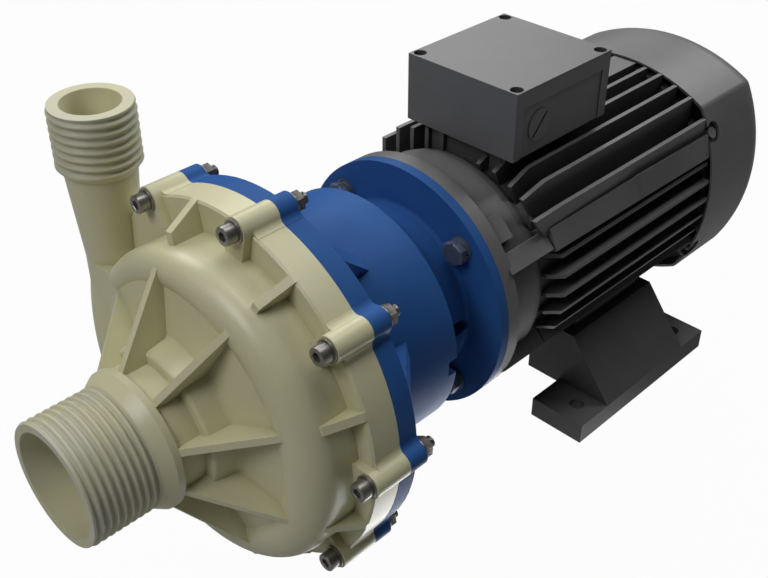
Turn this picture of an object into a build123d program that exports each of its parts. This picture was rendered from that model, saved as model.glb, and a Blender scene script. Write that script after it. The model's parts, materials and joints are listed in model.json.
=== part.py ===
"""Horizontal magnetic-drive centrifugal pump, close-coupled to a foot-mounted electric motor.

Units are millimetres. Modelling frame: Y runs along the shaft from the suction nozzle (negative)
to the motor's fan (positive), Z is up, and X is to the right for someone facing the suction.
While it is modelled, y = 0 is the motor's flange face and x = z = 0 is the shaft axis.
Every piece is then moved so that the origin is the middle of the four foot holes, on the
plane that the feet stand on.
"""
from build123d import *
from math import cos, radians, sin, sqrt
import os

os.makedirs("parts", exist_ok=True)

# Driving dimensions of the motor, a 132 S frame with feet and a 200 mm face flange
SHAFT_HEIGHT = 132.0
FOOT_HOLE_SPAN_X = 216.0
FOOT_HOLE_SPAN_Y = 140.0
FIRST_FOOT_HOLE = 89.0
FOOT_HOLE_RADIUS = 6.0
FLANGE_RADIUS = 100.0
FLANGE_BOLT_CIRCLE = 82.5
SPIGOT_RADIUS = 65.0
SPIGOT_LENGTH = 3.5
SHAFT_RADIUS = 19.0
SHAFT_LENGTH = 80.0
FRAME_RADIUS = 84.0
FRAME_WALL = 8.0
FRAME_FRONT = 58.0
FRAME_REAR = 268.5
FIN_HEIGHT = 14.5

# Driving dimensions of the pump end
LANTERN_LENGTH = 148.0
CASING_RADIUS = 135.0
BOLT_CIRCLE = 135.0
BOLT_COUNT = 9
BOSS_RADIUS = 12.0
CASING_RING = 22.5
LANTERN_RING = 15.0
SHELL_FLANGE_RADIUS = 112.0
SHELL_FLANGE = 6.0
SUCTION_FACE = LANTERN_LENGTH + 162.8
SUCTION_THREAD_RADIUS = 43.94
SUCTION_BORE = 36.8
SUCTION_THREAD_LENGTH = 48.3
DISCHARGE_X = 123.0
DISCHARGE_Y = LANTERN_LENGTH + 26.7
DISCHARGE_TOP = 168.0
DISCHARGE_THREAD_RADIUS = 29.8
DISCHARGE_BORE = 20.3
DISCHARGE_THREAD_LENGTH = 43.0

# Named clearances, and the depth to which ribs run into the wall that carries them
RUNNING = 0.05
SEAT = 0.02
SOFT = 0.3
EMBED = 4.0

# Where the modelled axis frame lies in the finished frame
FOOT_CENTRE = FIRST_FOOT_HOLE + FOOT_HOLE_SPAN_Y / 2
PLACE = Pos(0, -FOOT_CENTRE, SHAFT_HEIGHT)


def turned(*outline):
    """Solid of revolution about the shaft axis, from corners given as (radius, y)."""
    return revolve(make_face(Polyline(*outline, close=True)), Axis.Y)


def rod(radius, start, end, x=0.0, z=0.0):
    """Round bar parallel to the shaft, from y = start to y = end."""
    low = min(start, end)
    bar = Cylinder(radius, abs(end - start), align=(Align.CENTER, Align.CENTER, Align.MIN))
    return Pos(x, low, z) * Rot(-90, 0, 0) * bar


def tube(outer, inner, start, end, x=0.0, z=0.0):
    """Round tube parallel to the shaft."""
    return rod(outer, start, end, x, z) - rod(inner, start, end, x, z)


def block(x0, x1, y0, y1, z0, z1):
    """Rectangular block between two corners."""
    return Pos((x0 + x1) / 2, (y0 + y1) / 2, (z0 + z1) / 2) * Box(x1 - x0, y1 - y0, z1 - z0)


def turn(angle):
    """Rotation about the shaft that carries +X towards +Z by the angle in degrees."""
    return Rot(0, -angle, 0)


def plate(thickness, *outline):
    """Flat rib in the plane through the shaft and +X, from corners given as (radius, y)."""
    return extrude(make_face(Polyline(*outline, close=True)), thickness / 2, both=True)


def section_bar(y0, y1, *outline):
    """Bar of constant section along the shaft, from corners given as (x, z)."""
    flat = Plane((0, y0, 0), x_dir=(1, 0, 0), z_dir=(0, -1, 0))
    return extrude(flat * make_face(Polyline(*outline, close=True)), -(y1 - y0))


def circles(body, radius, level):
    """Round edges of a turned body at a radius and a place along the shaft."""
    return [edge for edge in body.edges().filter_by(GeomType.CIRCLE)
            if abs(edge.radius - radius) < SEAT and abs(edge.center().Y - level) < SEAT]


def save(name, *solids):
    """Writes one node as a STEP file, in the finished frame."""
    shapes = [solid for piece in solids for solid in (PLACE * piece).solids()]
    export_step(shapes[0] if len(shapes) == 1 else Compound(shapes), f"parts/{name}.step")
    print(f"{name}: {len(shapes)} solids, {sum(shape.volume for shape in shapes):.0f} mm3")


# Pump casing: a cream plastic moulding with a spiral channel and two threaded nozzles
PARTING = -LANTERN_LENGTH
RING_FRONT = PARTING - CASING_RING
WALL = 6.0
FLOOR_FRONT = PARTING - 65.5
FLOOR_REAR = PARTING - 59.0
FLOOR_OUTER = BOLT_CIRCLE - 44.0
HUB_RADIUS = 57.5
HUB_ROOT = 4.0
HUB_FRONT = PARTING - 83.0
HUB_FRONT_RADIUS = 54.5
HUB_ROUND = 3.0
NECK_RADIUS = 47.0
COLLAR_RADIUS = 49.5
COLLAR_REAR = PARTING - 101.0
COLLAR_LENGTH = 5.0
THREAD_REAR = SUCTION_THREAD_LENGTH - SUCTION_FACE
SCROLL_START = 138.0
SCROLL_SWEEP = 283.0
SCROLL_FIRST = BOLT_CIRCLE - 28.5
SCROLL_LAST = BOLT_CIRCLE - 12.0
SCROLL_GROWTH = 3.5
SCROLL_CREST = PARTING - 61.4
SCROLL_BASE = PARTING - 17.0
SCROLL_SECTIONS = 13
SCROLL_TURN_OUT = -172.0
EXIT_CENTRE = BOLT_CIRCLE - 23.0
EXIT_LEVEL = 34.0 - PARTING
EXIT_RADIUS = 22.0
RIB_THICKNESS = 5.0
RIB_FRONT_RADIUS = 49.5
RIB_OUTER_RADIUS = BOLT_CIRCLE - 31.0
RIB_OUTER_Y = PARTING - 60.6
SHORT_RIB_RADIUS = FLOOR_OUTER + 1.0
SHORT_RIB_Y = PARTING - 58.0
RIM_RIB_THICKNESS = 6.0
RIM_RIB_RADIUS = BOLT_CIRCLE - 13.0
RIM_RIB_Y = PARTING - 45.6
BOSS_FRONT = PARTING - 28.4
BOSS_FOOT_RADIUS = 8.0
BOSS_DEPTH = 8.0
RIM_CHAMFER = 1.5
SCREW_HOLE = 4.5
DUCT_RADIUS = 20.0
DUCT_BOTTOM = 30.0
DUCT_TOP = 52.0
DUCT_WALL = 5.5
LEDGE_INNER = 60.0
THREAD_CHAMFER = 5.5
THREAD_STEP = 1.0
NOZZLE_CHAMFER = 1.2
CHAMBER_RADIUS = FLOOR_OUTER - 1.0
O_RING_INNER = SHELL_FLANGE_RADIUS - 8.0
O_RING_OUTER = SHELL_FLANGE_RADIUS - 3.0
O_RING_DEPTH = 4.0
INSERT_RADIUS = 6.0
INSERT_LENGTH = 16.0
STEP = 360.0 / BOLT_COUNT
BOSS_ANGLES = [STEP * number for number in range(BOLT_COUNT)]
RIB_ANGLES = [STEP * (number + 0.5) for number in range(BOLT_COUNT)]
BLIND_ANGLES = [4 * STEP, 5 * STEP]
DUCT_SIDE_RIBS = [3.5 * STEP, 4.5 * STEP, 5.5 * STEP]
RIDGE_RIBS = [angle for angle in RIB_ANGLES if angle not in DUCT_SIDE_RIBS]
THROUGH_ANGLES = [angle for angle in BOSS_ANGLES if angle not in BLIND_ANGLES]


def scroll_plane(angle, level=0.0):
    """Plane through the shaft at an angle: its x runs outward and its y towards the suction."""
    across = (cos(radians(angle)), 0, sin(radians(angle)))
    along = (sin(radians(angle)), 0, -cos(radians(angle)))
    return Plane((0, level, 0), x_dir=across, z_dir=along)


def scroll_size(angle):
    """Outer radius of the spiral channel at an angle, and the radius of its rounded ridge."""
    left = 1 - (SCROLL_START - angle) / SCROLL_SWEEP
    outer = SCROLL_LAST - (SCROLL_LAST - SCROLL_FIRST) * left ** SCROLL_GROWTH
    width = outer - FLOOR_OUTER
    rise = FLOOR_REAR - SCROLL_CREST
    return outer, width + rise - sqrt(2 * width * rise)


def scroll_section(angle, inset):
    """Section of the channel: a round ridge with straight sides, drawn in by a wall."""
    outer, radius = scroll_size(angle)
    middle = outer - radius
    reach = radius - inset
    low = inset - SCROLL_BASE
    level = -SCROLL_CREST - radius
    face = make_face([
        Line((middle - reach, low), (middle + reach, low)),
        Line((middle + reach, low), (middle + reach, level)),
        ThreePointArc((middle + reach, level), (middle, level + reach), (middle - reach, level)),
        Line((middle - reach, level), (middle - reach, low)),
    ])
    return scroll_plane(angle) * face


def duct_section(height, radius):
    """Round level section of the discharge duct."""
    return Pos(-DISCHARGE_X, -DISCHARGE_Y, height) * Circle(radius)


def spiral(inset):
    """Spiral channel from its tongue round towards the discharge duct."""
    step = SCROLL_SWEEP / (SCROLL_SECTIONS - 1)
    return loft([scroll_section(SCROLL_START - step * number, inset) for number in range(SCROLL_SECTIONS)])


def tongue():
    """Rounded start of the spiral ridge."""
    outer, radius = scroll_size(SCROLL_START)
    x = (outer - radius) * cos(radians(SCROLL_START))
    z = (outer - radius) * sin(radians(SCROLL_START))
    level = SCROLL_CREST + radius
    return Pos(x, level, z) * Sphere(radius) + rod(radius, level, SCROLL_BASE, x, z)


def spiral_exit(inset):
    """Last part of the channel, which swings out and up into the duct."""
    end = SCROLL_START - SCROLL_SWEEP
    outer, radius = scroll_size(end)
    first = scroll_plane(end) * Pos(outer - radius, -SCROLL_CREST - radius) * Circle(radius - inset)
    middle = scroll_plane(SCROLL_TURN_OUT) * Pos(EXIT_CENTRE, EXIT_LEVEL) * Circle(EXIT_RADIUS - inset)
    return loft([first, middle, duct_section(DUCT_BOTTOM, DUCT_RADIUS - inset)])


def duct(inset, bore_top):
    """Duct and cone from the spiral up to the threaded nozzle."""
    radius = DUCT_RADIUS - inset
    straight = loft([duct_section(DUCT_BOTTOM, radius), duct_section(DUCT_TOP, radius)])
    cone_top = DISCHARGE_TOP - DISCHARGE_THREAD_LENGTH - THREAD_CHAMFER
    cone = loft([duct_section(DUCT_TOP, radius), duct_section(cone_top, bore_top)])
    return straight + cone


def discharge_nozzle():
    """Threaded end of the discharge, at the thread's full diameter."""
    bottom = DISCHARGE_TOP - DISCHARGE_THREAD_LENGTH
    outline = Polyline(
        (0, bottom - THREAD_CHAMFER),
        (DISCHARGE_THREAD_RADIUS - THREAD_CHAMFER + THREAD_STEP, bottom - THREAD_CHAMFER),
        (DISCHARGE_THREAD_RADIUS, bottom),
        (DISCHARGE_THREAD_RADIUS, DISCHARGE_TOP - NOZZLE_CHAMFER),
        (DISCHARGE_THREAD_RADIUS - NOZZLE_CHAMFER, DISCHARGE_TOP),
        (0, DISCHARGE_TOP),
        close=True,
    )
    body = revolve(Plane.XZ * make_face(outline), Axis.Z)
    return Pos(-DISCHARGE_X, -DISCHARGE_Y, 0) * body


def casing_outer():
    """Outside of the casing without its ribs."""
    body = turned(
        (0, PARTING), (CASING_RADIUS, PARTING), (CASING_RADIUS, RING_FRONT + RIM_CHAMFER),
        (CASING_RADIUS - RIM_CHAMFER, RING_FRONT), (SCROLL_FIRST - EMBED, RING_FRONT),
        (FLOOR_OUTER + EMBED, FLOOR_REAR + EMBED), (FLOOR_OUTER, FLOOR_REAR), (HUB_RADIUS, FLOOR_FRONT),
        (HUB_FRONT_RADIUS, HUB_FRONT), (NECK_RADIUS, HUB_FRONT), (NECK_RADIUS, COLLAR_REAR),
        (COLLAR_RADIUS, COLLAR_REAR), (COLLAR_RADIUS, COLLAR_REAR - COLLAR_LENGTH),
        (SUCTION_THREAD_RADIUS, THREAD_REAR), (SUCTION_THREAD_RADIUS, NOZZLE_CHAMFER - SUCTION_FACE),
        (SUCTION_THREAD_RADIUS - NOZZLE_CHAMFER, -SUCTION_FACE), (0, -SUCTION_FACE),
    )
    body = fillet(circles(body, HUB_RADIUS, FLOOR_FRONT), HUB_ROOT)
    body = fillet(circles(body, HUB_FRONT_RADIUS, HUB_FRONT), HUB_ROUND)
    ledge = block(-DISCHARGE_X, -LEDGE_INNER, -DISCHARGE_Y - DUCT_RADIUS, RING_FRONT + EMBED, 0, DUCT_TOP)
    cone_radius = DISCHARGE_THREAD_RADIUS - THREAD_CHAMFER + THREAD_STEP
    return body + spiral(0) + tongue() + spiral_exit(0) + ledge + duct(0, cone_radius) + discharge_nozzle()


def casing_ribs():
    """Long ribs from the neck to the spiral, short ribs on the rim, and the screw bosses."""
    ends = ((RIB_OUTER_RADIUS, RIB_OUTER_Y), (SHORT_RIB_RADIUS, SHORT_RIB_Y))
    long_rib, short_rib = [plate(
        RIB_THICKNESS, (NECK_RADIUS - EMBED, COLLAR_REAR), (RIB_FRONT_RADIUS, COLLAR_REAR), end,
        (FLOOR_OUTER - EMBED, FLOOR_REAR + EMBED), (NECK_RADIUS - EMBED, FLOOR_FRONT + EMBED),
    ) for end in ends]
    inner = SCROLL_FIRST - BOSS_DEPTH
    rim_rib = plate(
        RIM_RIB_THICKNESS, (inner, RING_FRONT + EMBED), (inner, RIM_RIB_Y), (RIM_RIB_RADIUS, RIM_RIB_Y),
        (CASING_RADIUS, RING_FRONT), (CASING_RADIUS, RING_FRONT + EMBED),
    )
    foot = section_bar(
        BOSS_FRONT, PARTING, (inner, -BOSS_FOOT_RADIUS), (BOLT_CIRCLE, -BOSS_RADIUS),
        (BOLT_CIRCLE, BOSS_RADIUS), (inner, BOSS_FOOT_RADIUS),
    )
    boss = rod(BOSS_RADIUS, BOSS_FRONT, PARTING, BOLT_CIRCLE) + foot
    ear = rod(BOSS_RADIUS, RING_FRONT, PARTING, BOLT_CIRCLE)
    pieces = [turn(angle) * long_rib for angle in RIDGE_RIBS]
    pieces += [turn(angle) * rim_rib for angle in RIDGE_RIBS]
    pieces += [turn(angle) * short_rib for angle in DUCT_SIDE_RIBS]
    pieces += [turn(angle) * boss for angle in THROUGH_ANGLES]
    pieces += [turn(angle) * ear for angle in BLIND_ANGLES]
    return pieces


def pump_casing():
    """Pump casing with its channel, bores and screw holes."""
    body = casing_outer()
    for piece in casing_ribs():
        body += piece
    chamber = turned(
        (0, PARTING), (CHAMBER_RADIUS, PARTING), (CHAMBER_RADIUS, FLOOR_REAR + WALL),
        (HUB_RADIUS - WALL, FLOOR_FRONT + WALL), (SUCTION_BORE, FLOOR_FRONT + WALL),
        (SUCTION_BORE, -SUCTION_FACE), (0, -SUCTION_FACE),
    )
    nozzle = Pos(-DISCHARGE_X, -DISCHARGE_Y, DISCHARGE_TOP) * Cylinder(
        DISCHARGE_BORE, DISCHARGE_THREAD_LENGTH + THREAD_CHAMFER,
        align=(Align.CENTER, Align.CENTER, Align.MAX))
    body -= chamber + spiral(WALL)
    body -= spiral_exit(DUCT_WALL)
    body -= duct(DUCT_WALL, DISCHARGE_BORE)
    body -= nozzle
    body -= tube(O_RING_OUTER, O_RING_INNER, PARTING - O_RING_DEPTH, PARTING)
    for angle in THROUGH_ANGLES:
        body -= turn(angle) * rod(SCREW_HOLE, BOSS_FRONT, PARTING, BOLT_CIRCLE)
    for angle in BLIND_ANGLES:
        body -= turn(angle) * rod(INSERT_RADIUS, PARTING - INSERT_LENGTH, PARTING, BOLT_CIRCLE)
    return body


# Seal between the casing and the containment shell
def casing_o_ring():
    """Round seal in the casing's groove."""
    middle = (O_RING_OUTER + O_RING_INNER) / 2
    half = O_RING_DEPTH / 2
    ring = Torus(middle, half - SEAT)
    return Pos(0, PARTING - half, 0) * Rot(90, 0, 0) * ring


# Containment shell: plastic cup that closes the wet end behind the impeller
SHELL_FACE = PARTING - 20.0
SHELL_PLUG_RADIUS = CHAMBER_RADIUS - 2.0
CAN_OUTER = 56.0
CAN_WALL = 4.0
CUP_FLOOR = -SHAFT_LENGTH - 4.0
CAN_END = CUP_FLOOR - 2.0
CAN_FLOOR = 6.0
CAN_BOSS_RADIUS = 15.0
CAN_BOSS_LENGTH = 14.0
PUMP_SHAFT_RADIUS = 9.0


def containment_shell():
    """Flange, plug and closed can in one turned piece, with a socket for the pump shaft."""
    inner = CAN_OUTER - CAN_WALL
    floor = CAN_END - CAN_FLOOR
    body = turned(
        (0, CAN_END), (CAN_OUTER, CAN_END), (CAN_OUTER, PARTING + SHELL_FLANGE),
        (SHELL_FLANGE_RADIUS - SEAT, PARTING + SHELL_FLANGE), (SHELL_FLANGE_RADIUS - SEAT, PARTING),
        (SHELL_PLUG_RADIUS, PARTING), (SHELL_PLUG_RADIUS, SHELL_FACE), (inner, SHELL_FACE),
        (inner, floor), (CAN_BOSS_RADIUS, floor), (CAN_BOSS_RADIUS, floor - CAN_BOSS_LENGTH),
        (0, floor - CAN_BOSS_LENGTH),
    )
    return body - rod(PUMP_SHAFT_RADIUS + SEAT, floor - CAN_BOSS_LENGTH, floor)


# Impeller and its bearing on the fixed pump shaft
PUMP_SHAFT_FRONT = PARTING - 72.0
SUPPORT_FRONT = PARTING - 76.0
SUPPORT_REAR = PARTING - 64.0
SUPPORT_NOSE = PARTING - 46.0
SUPPORT_HUB = 13.0
SUPPORT_ARM = 5.0
SUPPORT_RING = 3.0
THRUST_LENGTH = 4.0
THRUST_PLAY = 0.5
BUSH_RADIUS = 14.0
IMPELLER_RADIUS = 66.0
IMPELLER_EYE = 31.0
IMPELLER_HUB = 24.0
IMPELLER_SHROUD = 3.0
IMPELLER_BACK = PARTING - 25.0
IMPELLER_PASSAGE = 17.0
EYE_FRONT = PARTING - 57.0
VANE_COUNT = 6
VANE_THICKNESS = 3.0
INNER_MAGNET_RADIUS = 50.0
MAGNET_FRONT = PARTING + SHELL_FLANGE + 3.0
MAGNET_REAR = CAN_END - 15.0


def pump_shaft():
    """Fixed round shaft between the support in the inlet and the can."""
    return rod(PUMP_SHAFT_RADIUS, PUMP_SHAFT_FRONT, CAN_END - CAN_FLOOR - SEAT)


def shaft_support():
    """Spider in the inlet that holds the front end of the pump shaft."""
    outer = SUCTION_BORE - SEAT
    body = tube(outer, outer - SUPPORT_RING, SUPPORT_FRONT, SUPPORT_REAR)
    hub = rod(SUPPORT_HUB, SUPPORT_FRONT, SUPPORT_NOSE)
    hub -= rod(PUMP_SHAFT_RADIUS + SEAT, PUMP_SHAFT_FRONT, SUPPORT_NOSE)
    arm = block(SUPPORT_HUB - 1, outer - 1, SUPPORT_FRONT, SUPPORT_REAR, -SUPPORT_ARM / 2, SUPPORT_ARM / 2)
    for angle in (90, 210, 330):
        body += turn(angle) * arm
    return body + hub


def thrust_ring(start):
    """Ceramic washer beside the bush."""
    return tube(BUSH_RADIUS - 1, PUMP_SHAFT_RADIUS + SEAT, start, start + THRUST_LENGTH)


THRUST_FRONT = SUPPORT_NOSE
THRUST_REAR = CAN_END - CAN_FLOOR - CAN_BOSS_LENGTH - THRUST_LENGTH
BUSH_FRONT = THRUST_FRONT + THRUST_LENGTH + THRUST_PLAY
BUSH_REAR = THRUST_REAR - THRUST_PLAY


def impeller_bush():
    """Sleeve bearing that turns on the pump shaft."""
    return tube(BUSH_RADIUS, PUMP_SHAFT_RADIUS + RUNNING, BUSH_FRONT, BUSH_REAR)


def impeller():
    """Closed impeller with backward-curved vanes and a long hub for the magnets."""
    shroud_rear = IMPELLER_BACK - IMPELLER_SHROUD - IMPELLER_PASSAGE
    bore = BUSH_RADIUS + SEAT
    back = turned(
        (bore, BUSH_FRONT), (bore + 2, BUSH_FRONT), (IMPELLER_HUB, IMPELLER_BACK - IMPELLER_SHROUD),
        (IMPELLER_RADIUS, IMPELLER_BACK - IMPELLER_SHROUD), (IMPELLER_RADIUS, IMPELLER_BACK),
        (IMPELLER_HUB, IMPELLER_BACK), (IMPELLER_HUB, BUSH_REAR), (bore, BUSH_REAR),
    )
    front = turned(
        (IMPELLER_EYE, EYE_FRONT), (IMPELLER_EYE + IMPELLER_SHROUD, EYE_FRONT),
        (IMPELLER_EYE + IMPELLER_SHROUD, shroud_rear - IMPELLER_SHROUD - 1),
        (IMPELLER_RADIUS, shroud_rear - IMPELLER_SHROUD), (IMPELLER_RADIUS, shroud_rear),
        (IMPELLER_EYE, shroud_rear - 1),
    )
    body = back + front
    inner = sector_point(IMPELLER_EYE + 1, 0)
    middle = sector_point((IMPELLER_EYE + IMPELLER_RADIUS) / 2, -28)
    outer = sector_point(IMPELLER_RADIUS - 1, -62)
    curve = ThreePointArc(inner, middle, outer)
    strip = trace(curve, VANE_THICKNESS)
    flat = Plane((0, shroud_rear - 1, 0), x_dir=(1, 0, 0), z_dir=(0, 1, 0))
    vane = extrude(flat * strip, IMPELLER_PASSAGE + 2)
    for number in range(VANE_COUNT):
        body += turn(360.0 * number / VANE_COUNT) * vane
    return body


def sector_point(radius, angle):
    """Flat point at a radius and an angle."""
    return (radius * cos(radians(angle)), radius * sin(radians(angle)))


def inner_magnet():
    """Magnet ring, sealed in plastic, on the impeller's hub."""
    return tube(INNER_MAGNET_RADIUS, IMPELLER_HUB + SEAT, MAGNET_FRONT, MAGNET_REAR)


# Drive cup on the motor shaft
CUP_RADIUS = 73.0
CUP_BORE = 66.0
MAGNET_BORE = 58.5
CUP_FRONT = PARTING + SHELL_FLANGE + 2.5
CUP_FLOOR_THICKNESS = 8.0
CUP_HUB = 30.0
CUP_HUB_REAR = 50.0 - SHAFT_LENGTH
KEY_WIDTH = 10.0
KEY_HEIGHT = 8.0
KEY_DEPTH = 5.0
KEY_FRONT = 8.0 - SHAFT_LENGTH
KEY_LENGTH = 40.0


def outer_magnet_hub():
    """Steel cup that carries the driving magnets round the can."""
    body = turned(
        (0, CUP_FLOOR), (CUP_BORE, CUP_FLOOR), (CUP_BORE, CUP_FRONT), (CUP_RADIUS, CUP_FRONT),
        (CUP_RADIUS, CUP_FLOOR + CUP_FLOOR_THICKNESS), (CUP_HUB, CUP_FLOOR + CUP_FLOOR_THICKNESS),
        (CUP_HUB, CUP_HUB_REAR), (0, CUP_HUB_REAR),
    )
    body -= rod(SHAFT_RADIUS + SEAT, -SHAFT_LENGTH, CUP_HUB_REAR)
    top = SHAFT_RADIUS - KEY_DEPTH + KEY_HEIGHT + SEAT
    half = KEY_WIDTH / 2 + SEAT
    return body - block(-half, half, KEY_FRONT - SEAT, CUP_HUB_REAR, 0, top)


def outer_magnets():
    """Ring of driving magnets inside the cup."""
    return tube(CUP_BORE - SEAT, MAGNET_BORE, MAGNET_FRONT, MAGNET_REAR)


def shaft_key():
    """Parallel key between the motor shaft and the cup."""
    bottom = SHAFT_RADIUS - KEY_DEPTH
    half = KEY_WIDTH / 2
    return block(-half, half, KEY_FRONT, KEY_FRONT + KEY_LENGTH, bottom, bottom + KEY_HEIGHT)


# Lantern bracket between the pump and the motor
LANTERN_REAR_RING = LANTERN_RING - LANTERN_LENGTH
DRUM_RADIUS = 94.0
DRUM_BORE = 80.0
DRUM_REAR = -49.0
DRUM_WALL = 8.0
NOSE_RADIUS = 67.5
NOSE_BORE = 60.0
NOSE_FILLET = 4.0
FLANGE_THICKNESS = 8.2
LANTERN_RIB = 12.0
LANTERN_RIB_END = LANTERN_REAR_RING + 40.0
WINDOW_WIDTH = 13.0
WINDOW_FRONT = DRUM_REAR - 8.2
WINDOW_REAR = -8.6
WINDOW_Z = -2.1
FLANGE_BOLT_HOLE = 5.5
FLANGE_ANGLES = (45, 135, 225, 315)


def lantern_bracket():
    """Blue bracket: bolt ring, drum, neck and motor flange, with ribs and two windows."""
    body = turned(
        (DRUM_BORE, PARTING + SHELL_FLANGE), (SHELL_FLANGE_RADIUS, PARTING + SHELL_FLANGE),
        (SHELL_FLANGE_RADIUS, PARTING), (CASING_RADIUS, PARTING), (CASING_RADIUS, LANTERN_REAR_RING),
        (DRUM_RADIUS, LANTERN_REAR_RING), (DRUM_RADIUS, DRUM_REAR), (NOSE_RADIUS, DRUM_REAR),
        (NOSE_RADIUS, -FLANGE_THICKNESS), (FLANGE_RADIUS, -FLANGE_THICKNESS), (FLANGE_RADIUS, 0),
        (SPIGOT_RADIUS + SEAT, 0), (SPIGOT_RADIUS + SEAT, -SPIGOT_LENGTH - 0.5),
        (NOSE_BORE, -SPIGOT_LENGTH - 0.5), (NOSE_BORE, DRUM_REAR - DRUM_WALL),
        (DRUM_BORE, DRUM_REAR - DRUM_WALL),
    )
    for level in (DRUM_REAR, -FLANGE_THICKNESS):
        body = fillet(circles(body, NOSE_RADIUS, level), NOSE_FILLET)
    inner = DRUM_RADIUS - EMBED
    rib = plate(
        LANTERN_RIB, (inner, LANTERN_REAR_RING - EMBED), (CASING_RADIUS - EMBED, LANTERN_REAR_RING - EMBED),
        (CASING_RADIUS, LANTERN_REAR_RING), (DRUM_RADIUS, LANTERN_RIB_END), (inner, LANTERN_RIB_END),
    )
    boss_inner = SHELL_FLANGE_RADIUS + EMBED
    foot = block(boss_inner, BOLT_CIRCLE, PARTING, LANTERN_REAR_RING, -BOSS_RADIUS, BOSS_RADIUS)
    boss = rod(BOSS_RADIUS, PARTING, LANTERN_REAR_RING, BOLT_CIRCLE) + foot
    for angle in RIB_ANGLES:
        body += turn(angle) * rib
    for angle in BOSS_ANGLES:
        body += turn(angle) * boss
    for angle in BOSS_ANGLES:
        body -= turn(angle) * rod(SCREW_HOLE, PARTING, LANTERN_REAR_RING, BOLT_CIRCLE)
    for angle in FLANGE_ANGLES:
        body -= turn(angle) * rod(FLANGE_BOLT_HOLE, -FLANGE_THICKNESS, 0, FLANGE_BOLT_CIRCLE)
    half = WINDOW_WIDTH / 2
    low = WINDOW_Z - half
    reach = DRUM_RADIUS + 1
    window = block(-reach, reach, WINDOW_FRONT, WINDOW_REAR - half, low, low + WINDOW_WIDTH)
    window += Pos(0, WINDOW_REAR - half, WINDOW_Z) * Rot(0, 90, 0) * Cylinder(half, 2 * reach)
    return body - (window - rod(NOSE_BORE - 10, WINDOW_FRONT, WINDOW_REAR))


# Screws, nuts and washers of the casing and of the motor flange
SCREW_RADIUS = 4.0
SCREW_HEAD = 6.5
SCREW_HEAD_HEIGHT = 8.0
SOCKET_FLATS = 6.0
SOCKET_DEPTH = 4.0
WASHER_RADIUS = 8.0
WASHER = 1.6
NUT_FLATS = 13.0
NUT_HEIGHT = 6.5
SCREW_TIP = LANTERN_REAR_RING + WASHER + NUT_HEIGHT + 4.9
FLANGE_BOLT_RADIUS = 5.0
FLANGE_BOLT_FLATS = 17.0
FLANGE_BOLT_HEAD = 6.4
FLANGE_BOLT_TIP = 20.0
FLANGE_WASHER_RADIUS = 10.0
FLANGE_WASHER = 1.2
SPRING_WASHER = 2.2
SPRING_WASHER_RADIUS = 9.0


def hexagon(flats, start, end):
    """Hexagonal bar parallel to the shaft, by its width across flats."""
    flat = Plane((0, start, 0), x_dir=(1, 0, 0), z_dir=(0, 1, 0))
    return extrude(flat * RegularPolygon(flats / sqrt(3), 6), end - start)


def cap_screw(face, tip):
    """Socket-head screw whose head stands on the face and whose shank runs on to the tip."""
    way = 1 if tip > face else -1
    top = face - way * SCREW_HEAD_HEIGHT
    socket = hexagon(SOCKET_FLATS, min(top, top + way * SOCKET_DEPTH), max(top, top + way * SOCKET_DEPTH))
    head = chamfer(rod(SCREW_HEAD, top, face).edges().filter_by(GeomType.CIRCLE).sort_by(Axis.Y)[
        0 if way > 0 else -1], 0.8)
    return head + rod(SCREW_RADIUS, face, tip) - socket


def ring_of(piece, angles, radius):
    """Copies of a piece modelled on the shaft axis, moved out to a bolt circle."""
    return [turn(angle) * Pos(radius, 0, 0) * piece for angle in angles]


def casing_screws():
    """Seven screws put in from the front and two, behind the duct, from the rear."""
    front = cap_screw(BOSS_FRONT - WASHER, SCREW_TIP)
    rear = cap_screw(LANTERN_REAR_RING + WASHER, PARTING - INSERT_LENGTH + 3)
    return ring_of(front, THROUGH_ANGLES, BOLT_CIRCLE) + ring_of(rear, BLIND_ANGLES, BOLT_CIRCLE)


def casing_washers():
    """Plain washers under the heads and the nuts."""
    hole = SCREW_RADIUS + SEAT
    front = tube(WASHER_RADIUS, hole, BOSS_FRONT - WASHER, BOSS_FRONT)
    rear = tube(WASHER_RADIUS, hole, LANTERN_REAR_RING, LANTERN_REAR_RING + WASHER)
    return ring_of(front, THROUGH_ANGLES, BOLT_CIRCLE) + ring_of(rear, BOSS_ANGLES, BOLT_CIRCLE)


def casing_nuts():
    """Hexagon nuts behind the lantern."""
    start = LANTERN_REAR_RING + WASHER
    nut = hexagon(NUT_FLATS, start, start + NUT_HEIGHT) - rod(SCREW_RADIUS + SEAT, start, start + NUT_HEIGHT)
    return ring_of(nut, THROUGH_ANGLES, BOLT_CIRCLE)


def casing_inserts():
    """Threaded metal bushes in the two bosses behind the discharge duct."""
    bush = tube(INSERT_RADIUS - SEAT, SCREW_RADIUS + SEAT, PARTING - INSERT_LENGTH + SEAT, PARTING)
    return ring_of(bush, BLIND_ANGLES, BOLT_CIRCLE)


def flange_bolts():
    """Four hexagon bolts that hold the lantern to the motor."""
    face = -FLANGE_THICKNESS - FLANGE_WASHER - SPRING_WASHER
    bolt = hexagon(FLANGE_BOLT_FLATS, face - FLANGE_BOLT_HEAD, face)
    bolt += rod(FLANGE_BOLT_RADIUS, face, FLANGE_BOLT_TIP)
    return ring_of(bolt, FLANGE_ANGLES, FLANGE_BOLT_CIRCLE)


def flange_washers():
    """Plain washers on the lantern's flange."""
    washer = tube(FLANGE_WASHER_RADIUS, FLANGE_BOLT_RADIUS + SEAT, -FLANGE_THICKNESS - FLANGE_WASHER,
                  -FLANGE_THICKNESS)
    return ring_of(washer, FLANGE_ANGLES, FLANGE_BOLT_CIRCLE)


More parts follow.
